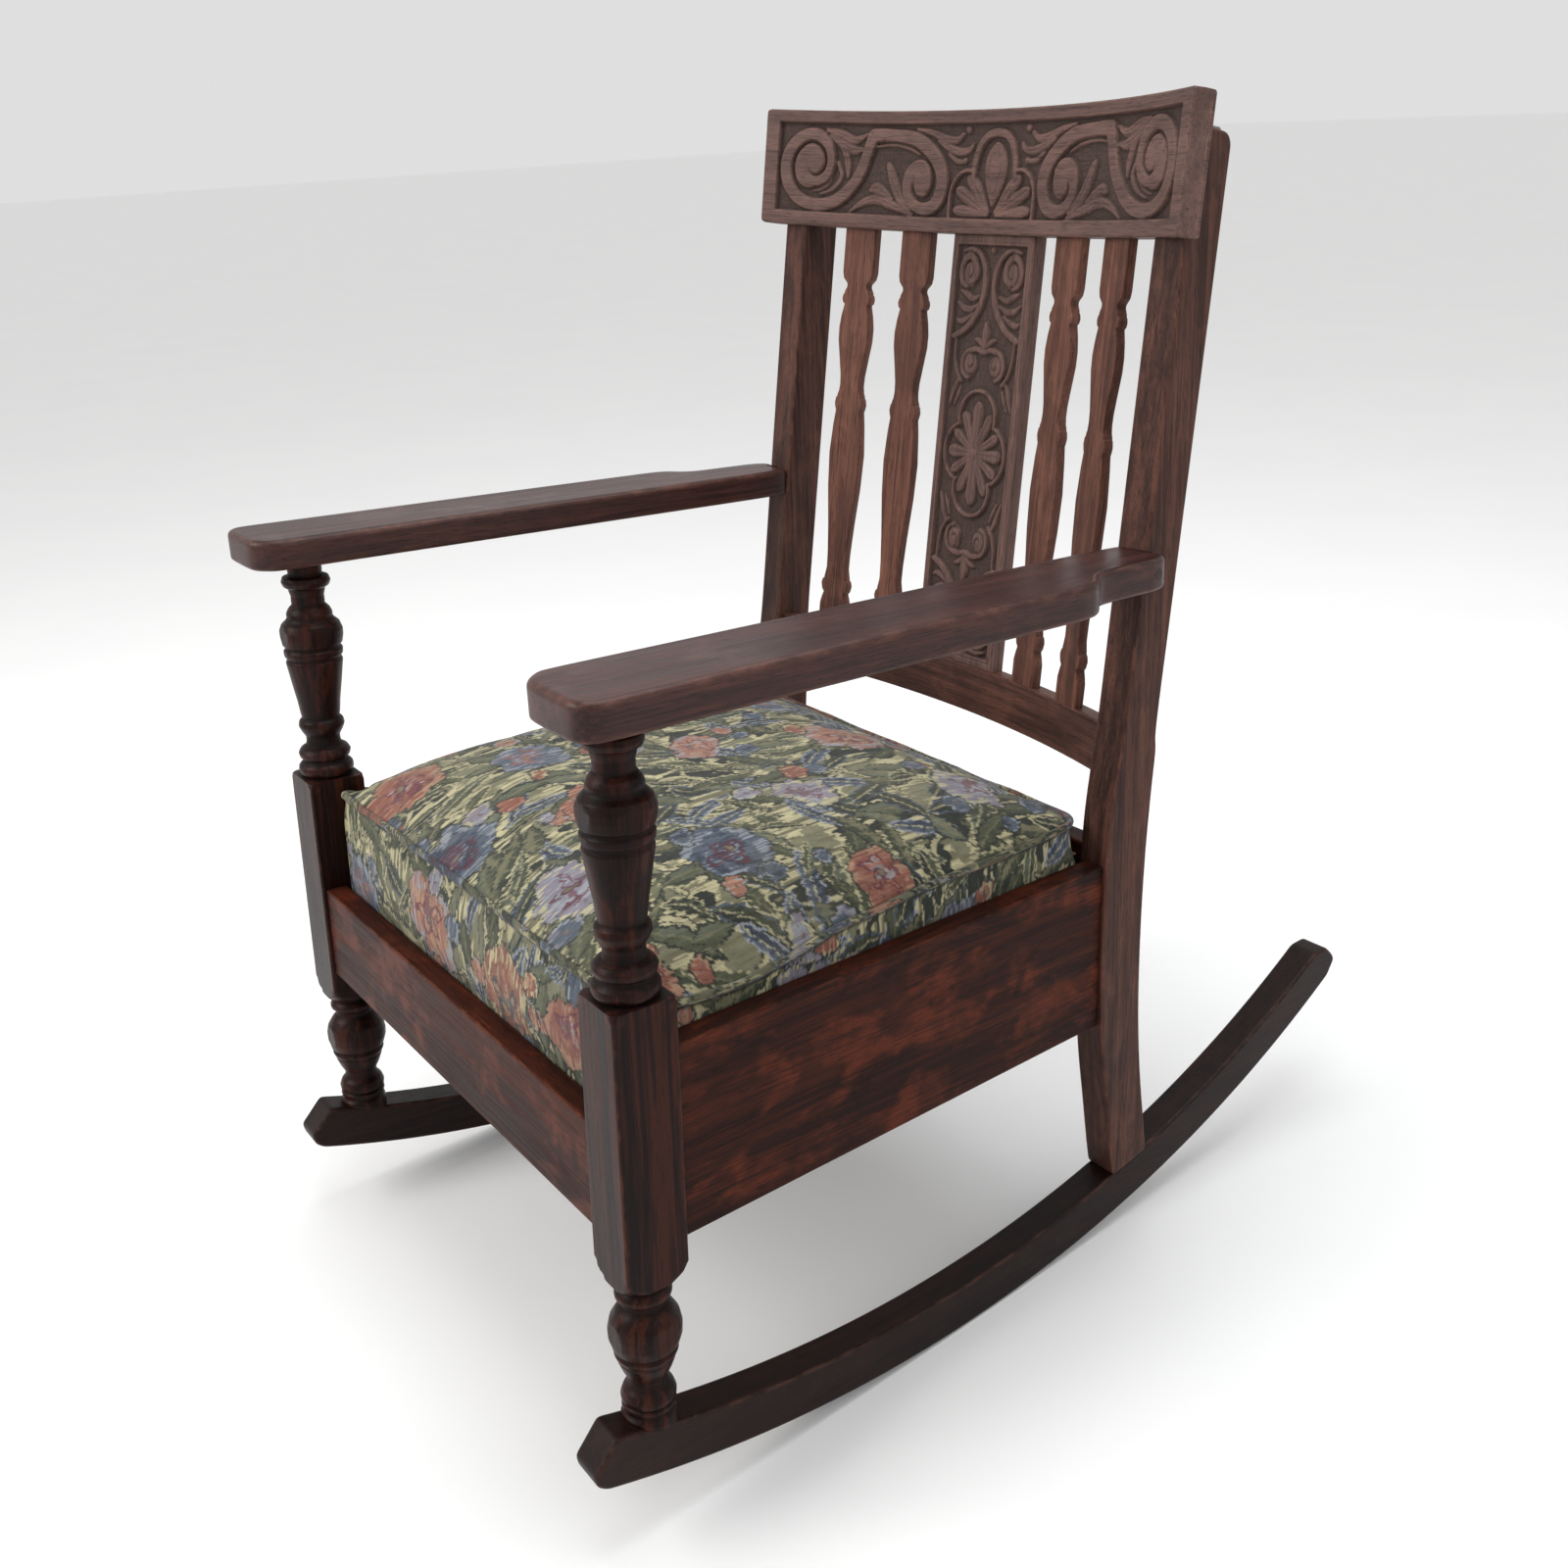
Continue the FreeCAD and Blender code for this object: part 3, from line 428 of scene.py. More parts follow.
# painted light: crest, splat, slats, rear posts and lower rail get lighter copies of the same stained oak because the
# front light falls on the back
oak("oak_back_lit", (88, 67, 62), (106, 81, 75), (120, 90, 82), (140, 106, 92), (54, 46, 42), 0.0, 0.1, (0.44, 0.60), 0.02, 0.12)
oak("oak_slats_lit", (84, 54, 45), (110, 72, 60), (128, 86, 70), (146, 98, 80), (50, 38, 34), 0.2, 0.25, (0.44, 0.60), 0.02, 0.12)
oak("oak_uprights_lit", (58, 37, 32), (80, 53, 46), (102, 66, 54), (128, 84, 68), (34, 25, 22), 0.2, 0.45, (0.42, 0.58), 0.03, 0.12)
oak("oak_runner", (24, 15, 13), (36, 21, 18), (50, 29, 24), (92, 62, 52), SOIL_SHADE, 0.1, 0.2, (0.36, 0.5), 0.03, 0.12)
oak("oak_plug", (38, 22, 20), (54, 32, 27), (76, 44, 36), RUBBED_HIGHLIGHT, SOIL_SHADE, 0.0, 0.2, (0.32, 0.46), 0.04, 0.14, attrs=False)


def plain_wood():
    g = Graph("raw_beech")
    v = g.obj()
    fig = g.noise(g.scale(v, (60, 9, 60)), 1.0, 3.0, 0.55, 0.4)
    fine = g.noise(g.scale(v, (700, 30, 700)), 1.0, 3.0, 0.6)
    age = g.noise(g.scale(v, (12, 12, 12)), 1.0, 4.0, 0.65)
    c = g.mix(g.ramp(fig, 0.35, 0.65), lin(122, 88, 58), lin(160, 122, 84))
    c = g.mix(g.math("MULTIPLY", g.ramp(fine, 0.5, 0.75), 0.5), c, lin(94, 64, 42))
    c = g.mix(g.math("MULTIPLY", g.ramp(age, 0.5, 0.8), 0.5), c, lin(80, 62, 48))
    g.put(g.bsdf.inputs["Base Color"], c)
    g.put(g.bsdf.inputs["Roughness"], g.ramp(fine, 0.3, 0.7, 0.62, 0.80))
    g.put(g.bsdf.inputs["Normal"], g.bump(fine, 0.3, 0.0004))


def jute():
    g = Graph("jute_web")
    v = g.obj()
    warp = g.wave(g.scale(v, (1, 1, 1)), 210, "BANDS", "X", 0.6, 1.0)
    weft = g.wave(g.scale(v, (1, 1, 1)), 210, "BANDS", "Y", 0.6, 1.0)
    n = g.noise(g.scale(v, (260, 260, 260)), 1.0, 3.0, 0.6)
    weave = g.math("MULTIPLY", warp, weft)
    c = g.mix(g.ramp(n, 0.35, 0.7), lin(120, 94, 60), lin(168, 140, 98))
    c = g.mix(g.math("MULTIPLY", g.math("SUBTRACT", 1.0, weave), 0.5), c, lin(74, 56, 36))
    g.put(g.bsdf.inputs["Base Color"], c)
    g.put(g.bsdf.inputs["Roughness"], g.ramp(n, 0.2, 0.8, 0.82, 0.95))
    g.put(g.bsdf.inputs["Normal"], g.bump(g.math("ADD", weave, n), 0.6, 0.0008))


def steel(name, base, scale):
    g = Graph(name)
    v = g.obj()
    n = g.noise(g.scale(v, (scale, scale, scale)), 1.0, 4.0, 0.6)
    spots = g.ramp(g.noise(g.scale(v, (380, 380, 380)), 1.0, 2.0, 0.5), 0.62, 0.72)
    c = g.mix(g.ramp(n, 0.3, 0.7), lin(*base), lin(*[x * 0.7 for x in base]))
    c = g.mix(g.math("MULTIPLY", spots, 0.5), c, lin(96, 62, 42))
    g.put(g.bsdf.inputs["Base Color"], c)
    g.bsdf.inputs["Metallic"].default_value = 0.9
    g.put(g.bsdf.inputs["Roughness"], g.ramp(n, 0.3, 0.7, 0.34, 0.56))
    g.put(g.bsdf.inputs["Normal"], g.bump(n, 0.15, 0.0003))


def dust_cloth():
    g = Graph("black_cambric")
    v = g.obj()
    a = g.wave(v, 420, "BANDS", "X", 0.4, 1.0)
    b = g.wave(v, 420, "BANDS", "Y", 0.4, 1.0)
    n = g.noise(g.scale(v, (14, 14, 14)), 1.0, 4.0, 0.6)
    c = g.mix(g.ramp(n, 0.3, 0.7), lin(30, 30, 31), lin(46, 45, 45))
    c = g.mix(g.math("MULTIPLY", g.math("MULTIPLY", a, b), 0.4), c, lin(66, 65, 64))
    g.put(g.bsdf.inputs["Base Color"], c)
    g.put(g.bsdf.inputs["Roughness"], g.ramp(n, 0.3, 0.7, 0.80, 0.93))
    g.put(g.bsdf.inputs["Normal"], g.bump(g.math("ADD", a, b), 0.4, 0.0004))


def tapestry():
    """Woven floral cloth: yarn colours are laid on the mesh, the weave and yarn variation come from nodes."""
    g = Graph("floral_tapestry")
    f = g.attr("fab", "Vector")
    col = g.attr("tcol", "Color")
    yarn = g.noise(g.scale(f, (900, 70, 1)), 1.0, 3.0, 0.6)
    fleck = g.noise(g.scale(f, (620, 260, 1)), 1.0, 2.0, 0.5)
    fade = g.noise(g.scale(f, (9, 9, 9)), 1.0, 3.0, 0.6)
    c = g.mix(g.math("MULTIPLY", g.ramp(yarn, 0.44, 0.24), 0.62), col, lin(34, 36, 32))
    c = g.mix(g.math("MULTIPLY", g.ramp(yarn, 0.58, 0.78), 0.34), c, lin(196, 188, 150))
    c = g.mix(g.math("MULTIPLY", g.ramp(fleck, 0.60, 0.74), 0.28), c, lin(60, 60, 48))
    c = g.mix(g.math("MULTIPLY", g.ramp(fade, 0.45, 0.75), 0.12), c, lin(150, 142, 116))
    rib = g.wave(f, 330, "BANDS", "X", 0.35, 1.0)
    pick = g.wave(f, 560, "BANDS", "Y", 0.35, 1.0)
    # painted shade in the grooves between the woven ribs
    c = g.mix(g.math("MULTIPLY", g.math("SUBTRACT", 1.0, rib), 0.22), c, lin(20, 20, 16))
    g.put(g.bsdf.inputs["Base Color"], c)
    g.put(g.bsdf.inputs["Roughness"], g.ramp(fleck, 0.2, 0.8, 0.78, 0.92))
    g.bsdf.inputs["Specular IOR Level"].default_value = 0.25
    g.bsdf.inputs["Sheen Weight"].default_value = 0.12
    g.bsdf.inputs["Sheen Roughness"].default_value = 0.5
    h = g.math("ADD", g.math("MULTIPLY", rib, 0.7), g.math("MULTIPLY", pick, 0.4))
    g.put(g.bsdf.inputs["Normal"], g.bump(g.math("ADD", h, g.math("MULTIPLY", yarn, 0.8)), 0.55, 0.0005))


plain_wood()
jute()
steel("spring_wire", (120, 112, 104), 60)
steel("screw_steel", (128, 122, 116), 90)
dust_cloth()
tapestry()

CAD_MATS = {
    "cleat_left": "raw_beech", "cleat_right": "raw_beech", "cleat_front": "raw_beech", "cleat_back": "raw_beech", "corner_blocks": "raw_beech",
    "seat_frame_front": "raw_beech", "seat_frame_back": "raw_beech", "seat_frame_left": "raw_beech", "seat_frame_right": "raw_beech",
    "draw_pins": "raw_beech", "arm_plugs": "oak_plug", "crest_screws": "screw_steel", "arm_screws": "screw_steel", "cleat_screws": "screw_steel",
    "coil_springs": "spring_wire", "webbing_lengthwise": "jute_web", "webbing_crosswise": "jute_web", "spring_burlap": "jute_web", "dust_cover": "black_cambric",
}
for n, m in CAD_MATS.items():
    me = nodes[n].data
    me.materials.clear()
    me.materials.append(MATS[m])

# ------------------------------------------------------------------ front posts
def arc_z(y, r):
    return ARC_Z - np.sqrt(r * r - (np.asarray(y, float) - ARC_Y) ** 2)


UP = [(632.0, 15.0), (618.5, 15.0), (618.0, 20.0), (613.5, 21.5), (609.5, 20.0), (607.0, 16.5), (600.0, 14.6), (592.0, 14.8),
      (588.0, 18.2), (584.0, 20.0), (580.0, 20.2), (577.5, 21.6), (574.0, 25.4), (568.0, 27.7), (562.0, 27.6), (555.0, 26.2),
      (553.0, 24.6), (551.0, 24.6), (549.0, 26.0), (544.5, 25.6), (542.5, 24.2), (540.5, 24.2), (538.0, 25.0), (520.0, 22.2),
      (500.0, 18.9), (484.0, 17.0), (481.0, 19.6), (476.5, 20.4), (472.0, 18.6), (466.0, 15.4), (462.0, 15.2), (457.5, 16.2),
      (454.5, 21.0), (450.5, 23.2), (446.5, 22.4), (444.0, 20.2), (441.5, 21.0), (438.0, 24.0), (434.0, 24.6), (430.5, 23.6), (429.0, 21.0)]
MID = [(428.4, 21.2), (427.8, 24.5), (427.4, 33.0), (421.5, 37.2), (418.0, 40.0), (238.0, 40.0), (235.0, 37.0), (227.0, 35.7), (219.0, 32.1), (213.0, 27.0), (209.4, 20.4)]
DOWN = [(209.0, 19.0), (206.5, 17.2), (203.5, 19.4), (200.5, 21.4), (197.0, 21.2), (195.0, 18.6), (193.0, 17.2), (189.0, 17.2),
        (184.5, 21.4), (177.0, 26.0), (169.0, 27.7), (160.0, 27.4), (150.0, 25.0), (148.0, 23.2), (146.0, 23.2), (144.0, 24.2),
        (141.0, 23.0), (139.0, 21.6), (137.0, 21.6), (130.0, 19.0), (123.0, 15.6), (119.0, 15.0), (115.5, 16.0), (111.5, 19.2),
        (106.0, 21.0), (101.0, 20.6), (98.5, 18.8), (96.0, 20.4), (92.5, 20.6), (90.5, 18.4), (86.5, 18.6), (82.0, 20.4), (76.0, 21.4), (72.0, 21.2)]


def thin_out(p, tol):
    p = np.asarray(p, float)
    return thin_rows(p, tol)


def thin_rows(p, tol):
    """Drop points of a line that lie within tol of the line through their neighbours kept."""
    keep = [0]
    i = 0
    while i < len(p) - 1:
        j = min(i + 2, len(p) - 1)
        best = i + 1
        while j < len(p):
            a, b = p[i], p[j]
            d = (b - a)[:2]
            ln = np.linalg.norm(d) + 1e-12
            off = np.abs((p[i + 1:j, 0] - a[0]) * d[1] - (p[i + 1:j, 1] - a[1]) * d[0]) / ln
            if off.max() > tol or ln > 9.0:
                break
            best = j
            j += 1
        keep.append(best)
        i = best
    return p[keep]


def lower_end(p):
    """The square block and the ball below it reach further down than the first drawing of the profile."""
    p = p.copy()
    p[:, 0] = np.interp(p[:, 0], [0, 72, 82, 92, 106, 119, 146, 169, 209, 238, 300, 900], [0, 72, 82, 88, 98, 110, 138, 156.5, 197, 226, 300, 900])
    return p


def front_post(name, side, node):
    prof = lower_end(resample(np.array(UP + MID + DOWN), 0.5))
    prof = blur_line(prof, 1.0)
    local = blur_line(prof, 7)
    cut = np.minimum(prof[:, 1] - local[:, 1], 0) * (prof[:, 1] < 30)
    prof[:, 1] += 0.55 * cut
    groove_at = np.clip(-cut / 1.1, 0, 1)
    zs_all = prof[:, 0].copy()
    prof = thin_out(np.column_stack([prof, groove_at]), 0.015)
    wide = blur_line(lower_end(resample(np.array(UP + MID + DOWN), 0.5)), 12)
    h, rc = 25.5, 2.2
    quad = [0, 3, 6, 9, 12, 15, 18, 21, 24, 27, 30, 33, 36, 38.5, 40.6, 41.8, 42.8, 43.9, 45]
    ang = np.radians(np.array([90 * k + a for k in range(4) for a in quad + [90 - q for q in quad[1:-1]][::-1]]))
    c, s = np.abs(np.cos(ang)), np.abs(np.sin(ang))
    sq = h / np.maximum(c, s)
    ci = h - rc
    # rounded corner: ray from the centre to the corner circle
    b = ci * (c + s)
    disc = b * b - (2 * ci * ci - rc * rc)
    corner = (np.minimum(c, s) * sq) > ci
    sq = np.where(corner & (disc > 0), b + np.sqrt(np.maximum(disc, 0)), sq)
    z, r = prof[:, 0], prof[:, 1]
    rad = np.minimum(sq[None, :], r[:, None])
    n, m = len(z), len(ang)
    x = side * 284.5 + rad * np.cos(ang)[None, :]
    y = rad * np.sin(ang)[None, :]
    zz = np.repeat(z[:, None], m, 1)
    drop = np.clip((84.0 - zz) / 11.0, 0, 1)
    zz = zz + (arc_z(y, R_IN) - 0.4 - 72.0) * drop * drop * (3 - 2 * drop)
    co = xyz(x, y, zz)
    # hollows and grooves of the turning are darkened, partly old polish and dust and partly painted shade; proud rings
    # are lightened, partly rubbing and partly painted highlight
    wr = np.interp(-z, -wide[:, 0], wide[:, 1])
    hollow = np.clip(np.clip((wr - r) / 4.0, 0, 1) * 0.6 + prof[:, 2] * 1.2, 0, 1) * (r < 33)
    proud = np.clip((r - wr - 0.4) / 3.0, 0, 1) * (r < 33)
    on_block = (r[:, None] > sq[None, :] + 0.3)
    edge = np.exp(-np.abs(np.degrees(ang) % 90 - 45) / 1.6)[None, :] * on_block
    rim = np.exp(-((z - 422) / 3.0) ** 2)[:, None] * (rad > 30) * 0.6
    rubbing_and_highlight = np.clip(edge * 0.9 + rim + proud[:, None] * 0.30, 0, 1)
    soil_and_shade = np.repeat((hollow * 0.75)[:, None], m, 1)
    grain = xyz(zz, x * 1.0 + zz * 0.012, y)
    quads = ring_quads(n, m)
    caps = [np.arange(m)[::-1], (n - 1) * m + np.arange(m)]
    return build(name, co, quads, caps, grain=grain, rubbing_and_highlight=rubbing_and_highlight.ravel(), soil_and_shade=soil_and_shade.ravel(), tone=0.0, mat="oak_posts", replaces=[node], sharp=50)


front_post("turned_front_post_left", 1, "front_post_left")
front_post("turned_front_post_right", -1, "front_post_right")


# ------------------------------------------------------------------ runners
def runner(name, side, node):
    yb = np.linspace(-48, 832, 220)
    yt = np.linspace(806, -38, 210)
    yf, yr = -54.0, 842.0
    tail = [(yr, arc_z(yr - 10, R_OUT) + 16), (yr - 4, arc_z(yr, R_OUT) + 16), (yr - 16, arc_z(yr, R_OUT) + 27)]
    nose = [(yf + 1.5, arc_z(-38, R_IN) - 17.5), (yf - 4, arc_z(yf, R_OUT) + 15), (yf - 1.5, arc_z(yf, R_OUT) + 4)]
    pts = list(zip(yb, arc_z(yb, R_OUT))) + tail + list(zip(yt, arc_z(yt, R_IN))) + nose
    line = outline(pts, 2.0, 1.3)

    def place(u, v, w):
        return xyz(side * (-0.0476 * u + 269.55 + w), u, v)

    return prism(name, line, 32.7, 3.2, place, lambda u, v, w: xyz(u, v, w), mat="oak_runner", replaces=[node], rubbing_highlight_gain=0.7)


runner("rocker_runner_left", 1, "runner_left")
runner("rocker_runner_right", -1, "runner_right")


# ------------------------------------------------------------------ rear posts
def pt_back(y, z):
    p = raked([[0, y, z]])[0]
    return (p[1], p[2])


def rear_post(name, side, node):
    up_f = [pt_back(0, z) for z in (30.0, 150.0, 330.0, 504.0)]
    up_b = [pt_back(40.8, z) for z in (30.0, 150.0, 330.0, 509.0)]
    fl = spline([(503.0, 64.0), (498.0, 90.0), (489.5, 145.0), (480.5, 205.0), (476.0, 262.0), (474.8, 330.0), (475.2, 385.0), (477.5, 430.0), (482.5, 470.0)] + up_f, 3)
    bl = spline([(549.0, 60.0), (541.5, 110.0), (532.5, 170.0), (526.5, 230.0), (524.0, 290.0), (523.6, 345.0), (525.0, 400.0), (528.0, 450.0), (531.0, 490.0)] + up_b, 3)
    fl = fl[fl[:, 1] > arc_z(fl[:, 0], R_IN) + 0.2]
    bl = bl[bl[:, 1] > arc_z(bl[:, 0], R_IN) + 0.2]
    tip = [pt_back(4.0, 515.0), pt_back(18.4, 518.0), pt_back(35.8, 516.0)]
    foot = [(y, arc_z(y, R_IN) - 0.6) for y in np.linspace(bl[0, 0] + 0.5, fl[0, 0] - 0.5, 12)]
    line = outline([tuple(p) for p in fl] + tip + [tuple(p) for p in bl[::-1]] + foot, 2.0, 1.4)

    def place(u, v, w):
        return xyz(side * (244.1 + w), u, v)

    return prism(name, line, 34.6, 2.6, place, lambda u, v, w: xyz(v, u + 0.02 * v, w), tone=-0.02, mat="oak_uprights_lit", replaces=[node], rubbing_highlight_gain=0.7)


rear_post("rear_post_shaped_left", 1, "rear_post_left")
rear_post("rear_post_shaped_right", -1, "rear_post_right")


# ------------------------------------------------------------------ arms
def arm(name, side, node):
    ai, ao, af, ar = 250.0, 340.0, -51.0, 513.0
    nose = [(ai + 1.5, af + 26), (ai + 5.5, af + 12), (ai + 15, af + 3), (ai + 28, af), (ao - 18, af), (ao - 6, af + 3.5), (ao + 0.5, af + 12), (ao + 1.5, af + 26)]
    sidep = [(ao, 30.0), (ao - 4, 200.0), (ao - 9, 385.0)]
    ogee = [(ao - 11, 398.0), (ao - 17, 408.0), (ao - 26, 416.0), (ao - 32, 426.0), (ao - 34, 440.0)]
    tail = [(ao - 36, 490.0), (ao - 39, 503.0), (ao - 46, ar), (279.8, ar), (279.8, 507.0), (247.0, 507.0), (245.4, 500.0), (244.0, 470.0), (ai - 6, 430.0)]
    nose_s = spline([(ai, 60.0)] + nose + [(ao + 0.8, 0.0)], 2)
    pts = [tuple(p) for p in nose_s] + sidep + [tuple(p) for p in spline(ogee, 2)] + tail
    line = outline(pts, 2.0, 1.6)
    a = math.atan(0.0195)

    def place(u, v, w):
        y = v * math.cos(a) - w * math.sin(a)
        z = v * math.sin(a) + w * math.cos(a) + 632.5
        return xyz(side * u, y, z)

    return prism(name, line, 27.3, 3.0, place, lambda u, v, w: xyz(v, u, w), r2=5.5, mat="oak_arms", replaces=[node], rubbing_highlight_gain=0.8)


arm("shaped_arm_left", 1, "arm_left")
arm("shaped_arm_right", -1, "arm_right")


# ------------------------------------------------------------------ seat rails
def side_rail(name, side, node):
    line = outline([(24.8, 229.8), (482.0, 235.8), (482.0, 392.0), (24.8, 386.0)], 2.0, 0.8)

    def place(u, v, w):
        out = 303.5 - 30.0 * (u - 25.5) / 449.5
        return xyz(side * (out - 22.0 + w), u, v)

    return prism(name, line, 22.0, 1.8, place, lambda u, v, w: xyz(u, v, w), tone=0.0, mat="oak_rails", replaces=[node], rubbing_highlight_gain=0.5)


side_rail("side_rail_board_left", 1, "side_seat_rail_left")
side_rail("side_rail_board_right", -1, "side_seat_rail_right")
prism("front_rail_board", outline([(-261, 233.5), (261, 233.5), (261, 321.1), (-261, 321.1)], 2.0, 0.8), 20.0, 1.8,
      lambda u, v, w: xyz(u, w - 21.6, v), lambda u, v, w: xyz(u, v + 0.01 * u, w), tone=0.10, mat="oak_rails", replaces=["front_seat_rail"], rubbing_highlight_gain=0.8)
prism("back_rail_board", outline([(-246, 300.0), (246, 300.0), (246, 404.0), (-246, 404.0)], 2.0, 0.8), 22.0, 1.8,
      lambda u, v, w: xyz(u, 480.0 + w, v), lambda u, v, w: xyz(u, v, w), tone=-0.05, mat="oak_rails", replaces=["back_seat_rail"])

# ------------------------------------------------------------------ slats
SLAT = [(434, 19.5), (388, 19.5), (382, 18), (377, 13), (374, 12.6), (370.5, 14.5), (369, 15.5), (367, 15.5), (366, 17), (362, 18), (358, 17),
        (356.5, 14.5), (345, 17.5), (333, 19.3), (320, 19), (300, 15.5), (285, 13), (275, 12.5), (268, 13.5), (265, 15), (263, 15), (262, 16.5),
        (256, 17.7), (251, 16.5), (249, 15.5), (235, 17.5), (205, 20), (170, 18.5), (130, 14.5), (100, 12.2), (84, 11.8), (78, 13), (74, 14),
        (72, 14), (71, 16), (66, 17.5), (60, 16), (57, 13.5), (52, 15.5), (45, 17.5), (20, 17.5)]
CREST_R = (290.7 ** 2 + 60.0 ** 2) / 120.0


def slat(name, x, y_mid, node):
    prof = blur_line(resample(np.array(SLAT, float), 0.8), 0.7)
    z, w = prof[:, 0], prof[:, 1]
    a, r, hv = -math.asin(x / CREST_R), 1.2, 5.0
    ring = []
    for cu, cv, a0 in ((1, -1, -90), (1, 1, 0), (-1, 1, 90), (-1, -1, 180)):
        for t in (0, 30, 60, 90):
            q = math.radians(a0 + t)
            ring.append((cu, cv, math.cos(q), math.sin(q), math.sin(math.radians(2 * t)) if 0 < t < 90 else 0.2))
        if cv == -1 and cu == 1:
            ring.append((1, 0, 1.0, 0.0, 0.0))
        if cv == 1 and cu == 1:
            ring += [(f, 1, 0.0, 1.0, 0.0) for f in (0.6, 0.2, -0.2, -0.6)]
        if cv == 1 and cu == -1:
            ring.append((-1, 0, -1.0, 0.0, 0.0))
        if cv == -1 and cu == -1:
            ring += [(f, -1, 0.0, -1.0, 0.0) for f in (-0.6, -0.2, 0.2, 0.6)]
    cu, cv, nu, nv_, wr = (np.array(c, float) for c in zip(*ring))
    m, n = len(ring), len(z)
    U = cu[None, :] * (w[:, None] - r) + nu[None, :] * r
    V = np.repeat((cv * (hv - r) + nv_ * r)[None, :], n, 0)
    Z = np.repeat(z[:, None], m, 1)
    co = raked(xyz(x + U * math.cos(a) - V * math.sin(a), y_mid + U * math.sin(a) + V * math.cos(a), Z))
    wide = blur_line(prof, 9)[:, 1]
    # the sides darken in the narrow notches of the outline: painted shade with some soil
    nook = np.clip((wide - w) / 2.5, 0, 1)[:, None] * (np.abs(nu) > 0.5)[None, :]
    rubbing_and_highlight = np.repeat(wr[None, :], n, 0) * 0.55
    caps = [np.arange(m)[::-1], (n - 1) * m + np.arange(m)]
    return build(name, co, ring_quads(n, m), caps, grain=xyz(Z, U, V), rubbing_and_highlight=rubbing_and_highlight.ravel(), soil_and_shade=(nook * 0.5).ravel(), tone=0.0, mat="oak_slats_lit",
                 replaces=[node], sharp=40)


slat("slat_shaped_outer_left", 181.0, 28.0, "slat_outer_left")
slat("slat_shaped_inner_left", 108.0, 42.0, "slat_inner_left")
slat("slat_shaped_inner_right", -108.0, 42.0, "slat_inner_right")
slat("slat_shaped_outer_right", -181.0, 28.0, "slat_outer_right")

# ------------------------------------------------------------------ lower back rail
LOW_R = (244.0 ** 2 + 36.0 ** 2) / 72.0


def low_place(u, v, w):
    a = np.arcsin(u / LOW_R)
    r = LOW_R + w
    yc = 6.0 + 36.0 - LOW_R
    return raked(xyz(r * np.sin(a), yc + r * np.cos(a), v))


prism("lower_rail_bent", outline([(-247, -22.7), (247, -22.7), (247, 23.0), (-247, 23.0)], 2.0, 0.8), 20.0, 2.0, low_place,
      lambda u, v, w: xyz(u, v, w), mat="oak_uprights_lit", tone=0.1, replaces=["lower_back_rail"], rubbing_highlight_gain=0.7)


